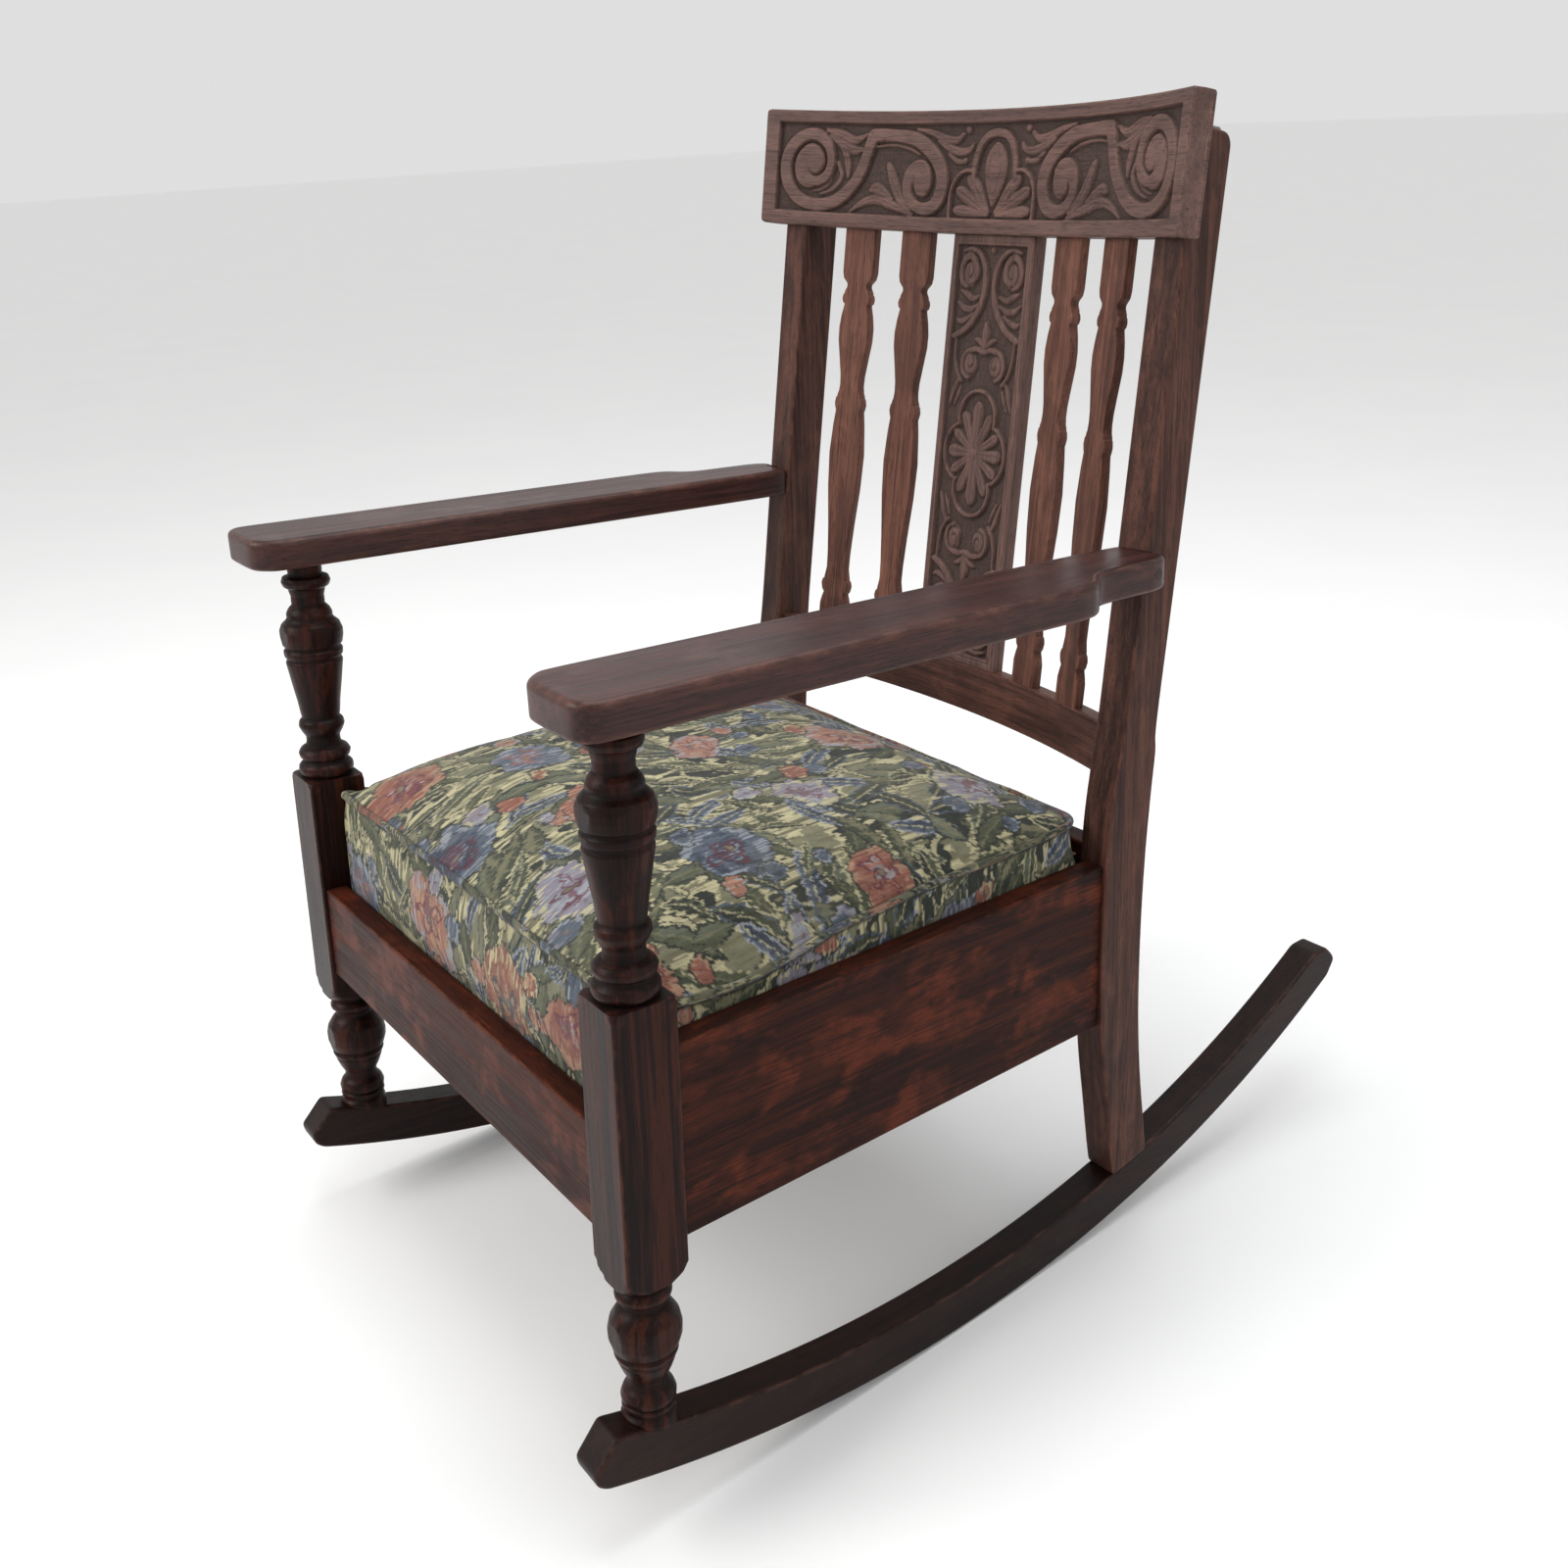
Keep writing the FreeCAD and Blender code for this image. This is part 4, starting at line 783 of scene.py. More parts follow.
# ------------------------------------------------------------------ carving
class Relief:
    """Height map of a carved board face; 0 is the board's own face and ground is the sunk field."""

    def __init__(self, xs, zs, ground):
        self.X, self.Z = np.meshgrid(xs, zs)
        self.ground = ground
        self.H = np.full(self.X.shape, ground, float)
        self.cut = np.zeros(self.X.shape)

    def box(self, x0, x1, z0, z1, pad):
        X, Z = self.X[0], self.Z[:, 0]
        i0, i1 = np.searchsorted(X, [x0 - pad, x1 + pad])
        j0, j1 = np.searchsorted(Z, [z0 - pad, z1 + pad])
        return slice(j0, j1), slice(i0, i1)

    def field(self, pts, closed=False):
        """Signed distance to a swept line of changing half width, and the share along it."""
        p = np.asarray(pts, float)
        w = p[:, 2]
        sl = self.box(p[:, 0].min(), p[:, 0].max(), p[:, 1].min(), p[:, 1].max(), w.max() + 3)
        X, Z = self.X[sl], self.Z[sl]
        if X.size == 0:
            return sl, None, None, None
        sd = np.full(X.shape, 1e9)
        dc = np.full(X.shape, 1e9)
        ww = np.zeros(X.shape)
        tt = np.zeros(X.shape)
        for k in range(len(p)):
            d = np.hypot(X - p[k, 0], Z - p[k, 1])
            better = d - p[k, 2] < sd
            sd = np.where(better, d - p[k, 2], sd)
            ww = np.where(better, p[k, 2], ww)
            tt = np.where(better, k / max(1, len(p) - 1), tt)
            dc = np.minimum(dc, d)
        return sl, sd, dc, (ww, tt)

    def band(self, pts, top=-0.5, edge=1.6, dome=0.5):
        """A flat band standing up from the ground, with slightly rounded shoulders."""
        sl, sd, dc, wt = self.field(spline(pts, 0.9))
        if sd is None:
            return
        t = np.clip(-sd / edge, 0, 1)
        t = t * t * (3 - 2 * t)
        u = np.clip(-sd / np.maximum(wt[0], 0.1), 0, 1)
        h = self.ground + (top - dome + dome * np.sqrt(1 - (1 - u) ** 2) - self.ground) * t
        self.H[sl] = np.maximum(self.H[sl], np.where(sd < 0, h, self.ground))

    def leaf(self, pts, top=-1.2, low=None, groove=1.0, veins=0.0):
        """A rounded leaf or petal with a hollow line down its middle."""
        line = spline(pts, 0.7)
        sl, sd, dc, wt = self.field(line)
        if sd is None:
            return
        low = self.ground if low is None else low
        u = np.clip(-sd / np.maximum(wt[0], 0.3), 0, 1)
        h = low + (top - low) * (1 - (1 - u) ** 2.2) ** 0.6
        h = h - groove * np.exp(-(dc / 0.9) ** 2) * np.clip(u * 2 - 0.4, 0, 1)
        if veins:
            h = h - veins * (0.5 + 0.5 * np.cos((dc * 0.9 + wt[1] * 60))) * np.clip(1 - u, 0, 1) * np.clip(u * 5, 0, 1)
        self.H[sl] = np.maximum(self.H[sl], np.where(sd < 0, h, self.ground))

    def dome(self, cx, cz, rx, rz, top=-0.8, low=None, flat=0.5):
        sl = self.box(cx - rx, cx + rx, cz - rz, cz + rz, 1)
        X, Z = self.X[sl], self.Z[sl]
        q = np.hypot((X - cx) / rx, (Z - cz) / rz)
        low = self.ground if low is None else low
        h = low + (top - low) * np.clip((1 - q ** 2), 0, 1) ** flat
        self.H[sl] = np.maximum(self.H[sl], np.where(q < 1, h, self.ground))

    def groove(self, pts, depth=2.2, width=1.1):
        """A cut line that ends in a point."""
        p = [(*q[:2], 0.1) for q in pts]
        sl, sd, dc, wt = self.field(spline(p, 0.6))
        if sd is None:
            return
        taper = np.clip(np.minimum(wt[1], 1.06 - wt[1]) * 12, 0.15, 1)
        self.cut[sl] = np.maximum(self.cut[sl], depth * taper * np.exp(-(dc / (width * (0.6 + 0.4 * taper))) ** 2))


def smooth2(a, n):
    k = np.array([0.25, 0.5, 0.25])
    for _ in range(n):
        p = np.pad(a, 1, mode="edge")
        a = k[0] * p[:-2, 1:-1] + k[1] * p[1:-1, 1:-1] + k[2] * p[2:, 1:-1]
        p = np.pad(a, 1, mode="edge")
        a = k[0] * p[1:-1, :-2] + k[1] * p[1:-1, 1:-1] + k[2] * p[1:-1, 2:]
    return a


def box_blur(a, n):
    for ax in (0, 1):
        c = np.cumsum(np.pad(a, [(n + 1, n) if k == ax else (0, 0) for k in (0, 1)], mode="edge"), axis=ax)
        a = (c[2 * n + 1:] - c[:-2 * n - 1]) / (2 * n + 1) if ax == 0 else (c[:, 2 * n + 1:] - c[:, :-2 * n - 1]) / (2 * n + 1)
    return a


def value_noise(x, z, seed):
    """Smooth noise from a seeded lattice, about -1 to 1."""
    r = np.random.default_rng(seed)
    lat = r.uniform(-1, 1, (256, 256))
    xi, zi = np.floor(x).astype(int), np.floor(z).astype(int)
    fx, fz = x - xi, z - zi
    fx, fz = fx * fx * (3 - 2 * fx), fz * fz * (3 - 2 * fz)
    a, b = lat[xi % 256, zi % 256], lat[(xi + 1) % 256, zi % 256]
    c, d = lat[xi % 256, (zi + 1) % 256], lat[(xi + 1) % 256, (zi + 1) % 256]
    return (a * (1 - fx) + b * fx) * (1 - fz) + (c * (1 - fx) + d * fx) * fz


def crest_half(xs, zs):
    """The carved field of the crest for one half, u from the centre out, v up from the lower edge."""
    g = Relief(xs, zs, -5.2)
    # leaves first, bands over them
    g.leaf([(221, 93, 2.5), (205, 89.5, 5.5), (189, 84, 5.0), (180, 86, 3.6), (172, 90, 1.6)], -1.6, veins=0.5)
    g.leaf([(216, 88, 3.0), (200, 79, 6.0), (187, 74.5, 5.2), (177, 75, 2.6)], -1.9, veins=0.5)
    g.leaf([(206, 82, 3.0), (198, 72, 4.6), (194, 60, 4.4), (193, 49, 2.2)], -2.2)
    g.leaf([(206, 62, 2.5), (201, 50, 3.0), (207, 40, 3.0), (216, 34, 2.4), (226, 31, 1.6)], -2.6, groove=0.6)
    g.leaf([(212, 50, 1.8), (216, 42, 2.4), (224, 36.5, 2.2), (234, 34, 1.2)], -3.0, groove=0.5)
    g.leaf([(109, 15.5, 3.0), (134, 23, 5.2), (156, 28.5, 5.6), (174, 24, 4.0), (188, 15.4, 1.4)], -1.6, veins=0.6)
    g.leaf([(112, 20, 3.5), (124, 29, 6.2), (134, 43, 6.6), (141, 58, 4.6), (143, 62, 2.8)], -1.3)
    g.leaf([(136, 29, 2.5), (147, 35, 5.6), (157, 39, 6.0), (163, 37, 3.0)], -1.7, groove=0.7)
    g.leaf([(160, 78, 1.4), (140, 80, 2.0), (118, 77, 2.2), (104, 71.5, 1.6)], -2.4, groove=0.3)
    g.leaf([(109, 95, 2.0), (90, 91.5, 3.6), (72, 86, 4.6), (57, 84.5, 4.0), (48, 90, 2.4)], -1.5, veins=0.4)
    g.leaf([(80, 84, 2.6), (66, 78, 4.6), (50, 74, 4.6), (38, 76, 3.4), (34, 81, 1.8)], -1.8, veins=0.4)
    g.leaf([(66, 72, 2.0), (55, 66, 3.2), (46, 65, 2.6)], -2.4, groove=0.5)
    g.dome(41.5, 94.0, 4.2, 4.0, -1.6)
    g.dome(43.0, 66.0, 3.4, 3.4, -1.8)
    # centre palmette
    g.leaf([(0, 27, 3.0), (0, 40, 9.6), (0, 54, 15.0), (0, 63, 15.4), (0, 71, 11.0), (0, 78, 5.0)], -0.8, low=-3.8, groove=0.0)
    g.band([(0, 91, 4.6), (12, 88.6, 4.6), (21, 81, 4.6), (26.4, 70, 4.4), (28.6, 58, 4.2), (27.5, 46, 3.0), (22, 34, 2.2), (14, 24, 2.0)], -0.8, 1.5)
    g.leaf([(5, 20, 2.0), (14, 31, 4.6), (24, 41.5, 7.0), (31, 47.5, 6.2), (34, 50, 4.0)], -1.0, low=-3.6)
    g.leaf([(6, 19, 2.0), (20, 26, 4.6), (35, 33, 6.6), (44.5, 37.5, 6.0), (48, 39, 4.0)], -1.1, low=-3.6)
    g.leaf([(6, 17, 1.8), (25, 19, 4.4), (40, 20.5, 5.8), (48, 21, 4.6), (51, 21, 3.0)], -1.2, low=-3.6, groove=0.6)
    g.band([(58.2, 14, 2.6), (58.6, 28, 2.6), (57.4, 40, 2.6), (51, 51, 2.6), (41, 56.8, 2.6), (31, 57, 2.6)], -0.7, 1.2)
    # second scroll
    g.band([(163.2, 88.6, 7.6), (151, 89.2, 7.2), (139.5, 88.8, 7.0), (125, 88.0, 7.2), (110.7, 85.8, 7.7), (98, 80.5, 8.1), (87.5, 73.4, 8.4), (78, 64.5, 8.6),
            (72.4, 55.9, 8.6), (70.2, 46.5, 8.6), (71.2, 37.3, 8.5), (75, 29.2, 8.2), (81, 23.6, 7.8), (89, 21.2, 7.2), (99, 21.8, 6.6),
            (108, 26, 6.4), (114.5, 34, 6.6), (116.6, 44, 6.8), (113.5, 54, 6.8), (106, 60.5, 6.6), (97, 61, 6.4), (91.5, 55.5, 6.4)], -0.4)
    g.dome(98.5, 47.5, 14.0, 17.8, -0.5, flat=0.09)
    g.groove([(106.5, 48.5), (108.6, 41), (105, 33.8), (97, 30.4), (89.5, 33), (84.6, 41), (83.4, 50), (86, 59.5), (92.5, 66), (101, 69), (110, 68.4), (118.5, 62.5), (124, 53.5)], 4.0, 1.3)
    # big scroll and the band that sweeps up from it
    g.band([(238, 45, 6.6), (228, 44.5, 6.8), (219.5, 48.5, 6.6), (214.8, 56, 6.3), (214.2, 66, 6.5), (218, 77.5, 7.0), (226.5, 85.5, 7.4), (236, 88.4, 7.6), (247.5, 86, 7.7), (257.6, 78.5, 7.7), (264, 67.5, 7.8), (265.8, 55, 7.8),
            (263, 42, 7.7), (255.5, 31, 7.7), (245, 24.2, 7.7), (233, 21.4, 7.6), (219.7, 21.2, 7.4), (207, 24.5, 7.4), (196.6, 30.6, 7.4), (187.4, 38.6, 7.4), (179.6, 48.5, 7.3),
            (174, 59, 7.2), (170, 70, 7.2), (166.6, 80, 7.4), (163.6, 88.4, 7.6)], -0.4)
    g.dome(239.0, 58.5, 19.0, 22.4, -0.4, flat=0.09)
    g.groove([(241, 58), (237, 51.5), (229.5, 49.5), (222, 55), (219.6, 64.5), (223.5, 74.5), (232, 80.6), (241, 81), (250, 75.6), (256.4, 66), (257.8, 55), (254.6, 43), (247, 33.6), (236, 28.8), (223, 28.6), (211, 32.4)], 4.2, 1.35)
    # mitre where the band turns
    g.groove([(158.5, 82.5), (170.5, 96.5)], 0.7, 0.8)
    H = g.H - np.minimum(g.cut, np.maximum(g.H - g.ground, 0))
    H = H + 0.0
    # the petal's flat rib
    X, Z = g.X, g.Z
    rib = np.exp(-((np.abs(X) - 8.2 * np.clip((Z - 26) / 30, 0, 1) * np.clip((82 - Z) / 20, 0, 1)) / 0.8) ** 2) * (X < 16) * (Z > 34) * (Z < 76)
    H = H - 0.8 * rib
    return H


def splat_quarter(xs, zs):
    """Carved field of the splat, x from the centre out, z up from its middle."""
    g = Relief(xs, zs, -4.6)
    # leaves by the upper scroll
    g.leaf([(14, 148, 1.6), (24, 145, 3.4), (33, 149, 3.6), (41, 152, 1.6)], -1.4, groove=0.7)
    g.leaf([(15, 140, 1.6), (26, 135, 3.6), (36, 136, 3.4), (44, 141, 1.6)], -1.5, groove=0.7)
    g.leaf([(22, 131, 1.6), (32, 125, 3.4), (40, 123, 3.0), (45, 125, 1.4)], -1.8, groove=0.5)
    # upper scroll
    g.band([(27, 160, 5.0), (21, 168, 5.0), (24, 179, 4.8), (31, 184.5, 4.4), (38.5, 181, 4.2), (42.2, 171, 4.2), (40, 161, 4.0), (33, 156.5, 3.6)], -0.8, 1.3)
    g.band([(40, 189, 2.4), (30, 191, 3.0), (20, 188.5, 3.4), (12, 181, 3.8), (7.6, 170, 4.0), (6.6, 157, 4.2), (9.0, 144, 4.2), (14.5, 132.5, 4.2), (24, 121, 4.2), (34, 113.8, 4.0), (45, 109, 3.6)], -0.5, 1.3)
    g.dome(29.8, 168, 10.0, 12.5, -0.9, flat=0.3)
    g.groove([(32.5, 170), (29.5, 164.5), (25, 168), (26, 176), (31, 180), (37, 176), (38.6, 168), (35.6, 160), (28, 157), (20.5, 160)], 1.9, 0.9)
    # drop at the centre
    g.leaf([(0, 98, 2.2), (0, 106, 4.6), (0, 113, 6.4), (0, 119, 4.0), (0, 124, 1.4)], -0.7, groove=0.4)
    g.leaf([(1, 100, 1.8), (8, 106, 3.2), (14, 108, 1.8)], -1.5, groove=0.5)
    g.dome(0, 190.5, 3.4, 3.4, -1.2)
    # second volute with its own frame line
    g.band([(2, 96, 3.2), (9, 98.5, 3.4), (17, 97.5, 3.6), (25, 93.5, 3.8), (29, 85, 3.8), (27, 76, 3.6), (20, 71.5, 3.4)], -0.9, 1.3)
    g.dome(19.0, 83.5, 10.5, 12.0, -0.8, flat=0.3)
    g.groove([(21.5, 86), (17.5, 80.5), (13, 85), (15, 92.5), (21, 94), (26, 88), (26, 79.5), (20, 73.5), (12.5, 75)], 1.9, 0.9)
    g.band([(42.5, 112, 2.0), (41.5, 100, 2.2), (40.5, 88, 2.4), (36.5, 76, 2.6), (30, 67.5, 2.8)], -1.2, 1.3)
    g.leaf([(34, 69, 2.0), (38.5, 60, 3.4), (42, 50, 2.6), (45, 43, 1.2)], -1.7, groove=0.6)
    g.leaf([(30, 62, 1.6), (33, 54, 2.4), (38, 44, 1.4)], -2.2, groove=0.4)
    # quatrefoil rim
    lobes = []
    for a in np.linspace(90, -18, 12):
        lobes.append((25.5 * math.cos(math.radians(a)), 34.5 + 25.5 * math.sin(math.radians(a)), 2.7))
    g.band(lobes, -0.5, 1.2, 1.0)
    side = []
    for a in np.linspace(63, 0, 8):
        side.append((15.5 + 28.0 * math.cos(math.radians(a)), 29.0 * math.sin(math.radians(a)), 2.7))
    g.band(side, -0.5, 1.2, 1.0)
    # rosette: petals round a button
    for a, ln, w in ((90, 49, 8.6), (63, 43, 6.8), (32, 37, 6.0), (2, 37, 6.2)):
        c, s = math.cos(math.radians(a)), math.sin(math.radians(a))
        pts = [(c * t * ln, s * t * ln, w * (0.24 + 1.25 * t * (1.25 - t) ** 0.5 * 0.95) * (1 if t < 0.93 else 0.55)) for t in (0.12, 0.3, 0.5, 0.7, 0.84, 0.95)]
        g.leaf(pts, -0.9, low=-3.2, groove=0.9)
    g.dome(0, 0, 5.6, 5.6, -0.2, low=-2.0, flat=0.6)
    return g.H - np.minimum(g.cut, np.maximum(g.H - g.ground, 0))


def carved_board(name, xs, zs, H, place, thick, mat, slot, replaces, grain_dir, round_corner=0.0, tone=0.0):
    """A board with a carved front: dense front grid, eased edges, plain sides and back."""
    X, Z = np.meshgrid(xs, zs)
    x0, x1, z0, z1 = xs[0], xs[-1], zs[0], zs[-1]
    d = np.minimum(np.minimum(X - x0, x1 - X), np.minimum(Z - z0, z1 - Z))
    r = 2.4
    ease = np.where(d < r, r - np.sqrt(np.maximum(r * r - (r - d) ** 2, 0)), 0.0)
    edge = np.clip(1 - np.abs(d - 1.0) / 1.6, 0, 1)
    depth = -H + ease
    if round_corner:
        rr = round_corner
        ax = np.maximum(np.abs(X - (x0 + x1) / 2) - ((x1 - x0) / 2 - rr), 0) / rr
        az = np.maximum(np.abs(Z - (z0 + z1) / 2) - ((z1 - z0) / 2 - rr), 0) / rr
        sx, sz = np.sign(X - (x0 + x1) / 2), np.sign(Z - (z0 + z1) / 2)
        nx, nz = ax * np.sqrt(1 - az ** 2 / 2), az * np.sqrt(1 - ax ** 2 / 2)
        X = X + sx * (nx - ax) * rr
        Z = Z + sz * (nz - az) * rr
    nzr, nxc = X.shape
    front = place(X.ravel(), Z.ravel(), depth.ravel())
    idx = np.arange(nzr * nxc).reshape(nzr, nxc)
    quads = [np.stack([idx[:-1, :-1].ravel(), idx[:-1, 1:].ravel(), idx[1:, 1:].ravel(), idx[1:, :-1].ravel()], 1)]
    per = np.concatenate([idx[0, :], idx[1:, -1], idx[-1, -2::-1], idx[-2:0:-1, 0]])
    m = len(per)
    px, pz = X.ravel()[per], Z.ravel()[per]
    co, gr_xyz = [front], [grain_dir(X.ravel(), Z.ravel(), depth.ravel())]
    # relief colour from the shape itself: raised parts lightened, partly rubbing and partly painted highlight; sunk
    # field and the feet of the bands darkened, partly soil and partly painted shade
    soft = box_blur(H, 4)
    high = np.clip((H - soft) * 0.9, 0, 1)
    low = np.clip((soft - H) * 0.75, 0, 1)
    sunk = np.clip((-3.0 - H) / 1.8, 0, 1)
    rubbing_and_highlight = [np.clip(edge * 0.7 + high * 0.42, 0, 1).ravel()]
    soil_and_shade = [np.clip(sunk * 0.85 + low * 0.9, 0, 1).ravel()]
    ring0 = per
    rows = [(r, 0.3), (r + 1.6, 0.0), (thick / 2, 0.0), (thick - r, 0.3)]
    total = nzr * nxc
    prev = ring0
    for w, x in rows:
        co.append(place(px, pz, np.full(m, w)))
        gr_xyz.append(grain_dir(px, pz, np.full(m, w)))
        rubbing_and_highlight.append(np.full(m, x))
        soil_and_shade.append(np.zeros(m))
        cur = total + np.arange(m)
        total += m
        i = np.arange(m)
        j = (i + 1) % m
        quads.append(np.stack([prev[j], prev[i], cur[i], cur[j]], 1))
        prev = cur
    # back edge, drawn in a little to ease it
    cx, cz = (x0 + x1) / 2, (z0 + z1) / 2
    for inset_by, w, x in ((0.8, thick - 0.7, 1.0), (r, thick, 0.3), (r + 1.6, thick, 0.0)):
        bx = np.clip(px, x0 + inset_by, x1 - inset_by)
        bz = np.clip(pz, z0 + inset_by, z1 - inset_by)
        co.append(place(bx, bz, np.full(m, w)))
        gr_xyz.append(grain_dir(bx, bz, np.full(m, w)))
        rubbing_and_highlight.append(np.full(m, x))
        soil_and_shade.append(np.zeros(m))
        cur = total + np.arange(m)
        total += m
        i = np.arange(m)
        j = (i + 1) % m
        quads.append(np.stack([prev[j], prev[i], cur[i], cur[j]], 1))
        prev = cur
    a, b = nxc - 1, nzr - 1
    ngons = []
    bot = prev[:nxc]
    top = prev[a + b:a + b + nxc][::-1]
    right = prev[a:a + b + 1]
    left = np.concatenate([prev[2 * a + b:], prev[:1]])[::-1]
    i = np.arange(1, nxc - 2)
    quads.append(np.stack([bot[i + 1], bot[i], top[i], top[i + 1]], 1))
    ngons.append(np.concatenate([[bot[1]], left, [top[1]]]))
    ngons.append(np.concatenate([[bot[-2], top[-2]], right[::-1]]))
    return build(name, np.vstack(co), np.vstack(quads), ngons, grain=np.vstack(gr_xyz), rubbing_and_highlight=np.concatenate(rubbing_and_highlight), soil_and_shade=np.concatenate(soil_and_shade), tone=tone,
                 mat=mat, slot=slot, replaces=replaces, sharp=0)


GRID = 0.62

# crest rail
nx = int(round(290.7 / GRID))
half = np.linspace(0, 290.7, nx + 1)
zs = np.linspace(0, 111.5, int(round(111.5 / GRID)) + 1)
Hh = crest_half(half, zs)
stipple = 0.22 * value_noise(half[None, :] / 1.3 + 0 * zs[:, None], zs[:, None] / 1.3 + 0 * half[None, :], 5)
Hh = np.where(Hh < -4.9, Hh + stipple, Hh)
# the plain border stands round the carved field
U, W = np.meshgrid(half, zs)
inner = np.minimum(274.8 - U, np.minimum(W - 13.8, 99.2 - W))
t = np.clip((inner + 0.5) / 1.1, 0, 1)
Hh = Hh * (t * t * (3 - 2 * t))
Hh = smooth2(Hh, 1)
H = np.concatenate([Hh[:, :0:-1], Hh], axis=1)
xs = np.concatenate([-half[:0:-1], half])


def crest_place(u, v, w):
    yc = -25.0 + 60.0 - CREST_R
    q = np.clip(u / CREST_R, -1, 1)
    a = np.arcsin(q)
    r = CREST_R + w
    x = np.clip(r * np.sin(a), -290.7, 290.7)
    return raked(xyz(x, yc + r * np.cos(a), v + 431.0))


carved_board("crest_rail_carved", xs, zs, H, crest_place, 25.0, "oak_back_lit", "stained_oak", ["crest_rail"],
             lambda u, v, w: xyz(u, v, w), round_corner=5.0, tone=0.0)

# splat
sx = np.linspace(0, 57.0, int(round(57.0 / GRID)) + 1)
sz = np.linspace(0, 205.0, int(round(205.0 / GRID)) + 1)
Hq = splat_quarter(sx, sz)
stip = 0.2 * value_noise(sx[None, :] / 1.2 + 0 * sz[:, None], sz[:, None] / 1.2 + 0 * sx[None, :], 9)
Hq = np.where(Hq < -4.3, Hq + stip, Hq)
U, W = np.meshgrid(sx, sz)
inner = np.minimum(48.6 - U, 194.5 - W)
t = np.clip((inner + 0.5) / 1.1, 0, 1)
Hq = Hq * (t * t * (3 - 2 * t))
# a bead run round the inside of the rim
rim = np.exp(-((np.minimum(51.8 - U, 197.6 - W)) / 0.8) ** 2)
Hq = Hq - 0.7 * rim
Hq = smooth2(Hq, 1)
Hs = np.concatenate([Hq[:, :0:-1], Hq], axis=1)
Hs = np.concatenate([Hs[:0:-1, :], Hs], axis=0)
sxs = np.concatenate([-sx[:0:-1], sx])
szs = np.concatenate([-sz[:0:-1], sz])
carved_board("splat_carved", sxs, szs, Hs, lambda u, v, w: raked(xyz(u, 42.5 + w, v + 227.0)), 17.0, "oak_back_lit", "stained_oak", ["carved_splat"],
             lambda u, v, w: xyz(v, u, w), tone=0.0)


# ------------------------------------------------------------------ cushion of the drop-in seat
SEAT_Y0, SEAT_YM, SEAT_Y1 = 0.2, 26.7, 469.0
W_IN, W_F, W_R = 257.8, 280.2, 250.8
SEAT_LOW = 300.0


def half_at(y):
    return W_F + (W_R - W_F) * (np.asarray(y, float) - SEAT_YM) / (SEAT_Y1 - SEAT_YM)


def welt_height(x, y):
    """Height of the welt along the edge; it dips behind each front post."""
    y = np.asarray(y, float)
    side = np.interp(y, [0, 20, 50, 100, 145, 190, 275, 340, 430, 470], [412, 405, 400, 398, 404, 413, 420, 421, 424, 428])
    front = 413.5
    t = np.clip(np.abs(x) / 262.0, 0, 1) ** 10
    f = np.clip(1 - y / 26.0, 0, 1)
    mid = np.interp(y, [0, 470], [413.5, 428])
    s = side * t + mid * (1 - t)
    return s * (1 - f) + (front * (1 - 0.6 * t) + side * 0.6 * t) * f


def crown_height(x, y):
    hw = np.where(y < SEAT_YM, W_IN + 4, half_at(np.maximum(y, SEAT_YM)))
    a = np.clip(np.abs(x) / hw, 0, 1)
    b = np.clip(np.abs(y - 225.0) / np.where(y < 225, 225.0, 244.0), 0, 1)
    c = np.maximum(1 - a ** 4.6, 0) ** 0.60
    e = np.maximum(1 - b ** 3.4, 0) ** 0.70
    return 49.0 * c * e


STEP = 5.0


def seat_grid():
    """A closed cage of quads for the stuffed seat, with a notch round each front post."""
    ny1 = max(3, int(round((SEAT_YM - SEAT_Y0) / STEP)))
    ny2 = int(round((SEAT_Y1 - SEAT_YM) / STEP))
    ys = np.concatenate([np.linspace(SEAT_Y0, SEAT_YM, ny1 + 1), np.linspace(SEAT_YM, SEAT_Y1, ny2 + 1)[1:]])
    ni = int(round(W_IN / STEP))
    no = max(2, int(round((W_F - W_IN) / STEP)))
    s_in = np.linspace(-1, 1, 2 * ni + 1)
    k = W_F / W_IN
    s_out = np.linspace(1, k, no + 1)[1:]
    ss = np.concatenate([-s_out[::-1], s_in, s_out])
    n_s, n_y = len(ss), len(ys)
    valid = np.ones((n_y, n_s), bool)
    valid[:ny1, :no] = False
    valid[:ny1, n_s - no:] = False
    X = np.zeros((n_y, n_s))
    for j, y in enumerate(ys):
        f = 1.0 if y <= SEAT_YM else half_at(y) / W_F
        X[j] = ss * W_IN * f
    Y = np.repeat(ys[:, None], n_s, 1)
    return X, Y, valid, ny1, no


def round_corners(p):
    """Draw the plan corners of the cover in to soft curves."""
    p = p.copy()
    for cx, cy, sx, sy, rho in ((0, SEAT_Y1, 1, 1, 20.0), (0, SEAT_Y0, 1, -1, 10.0)):
        hw = W_R + (SEAT_Y1 - p[:, 1]) * (W_F - W_R) / (SEAT_Y1 - SEAT_YM) if sy > 0 else np.full(len(p), W_IN)
        ax = (rho - (hw - np.abs(p[:, 0]))) / rho
        ay = (rho - (cy - p[:, 1]) * sy) / rho
        hit = (ax > 0) & (ay > 0) & (ax <= 1.001)
        ax, ay = np.clip(ax, 0, 1), np.clip(ay, 0, 1)
        nx, ny = ax * np.sqrt(1 - ay ** 2 / 2), ay * np.sqrt(1 - ax ** 2 / 2)
        share = 0.15 + 0.85 * np.clip((p[:, 2] - 385) / 22, 0, 1)
        p[:, 0] += np.where(hit, np.sign(p[:, 0]) * (nx - ax) * rho * share, 0)
        p[:, 1] += np.where(hit, sy * (ny - ay) * rho * share, 0)
    return p


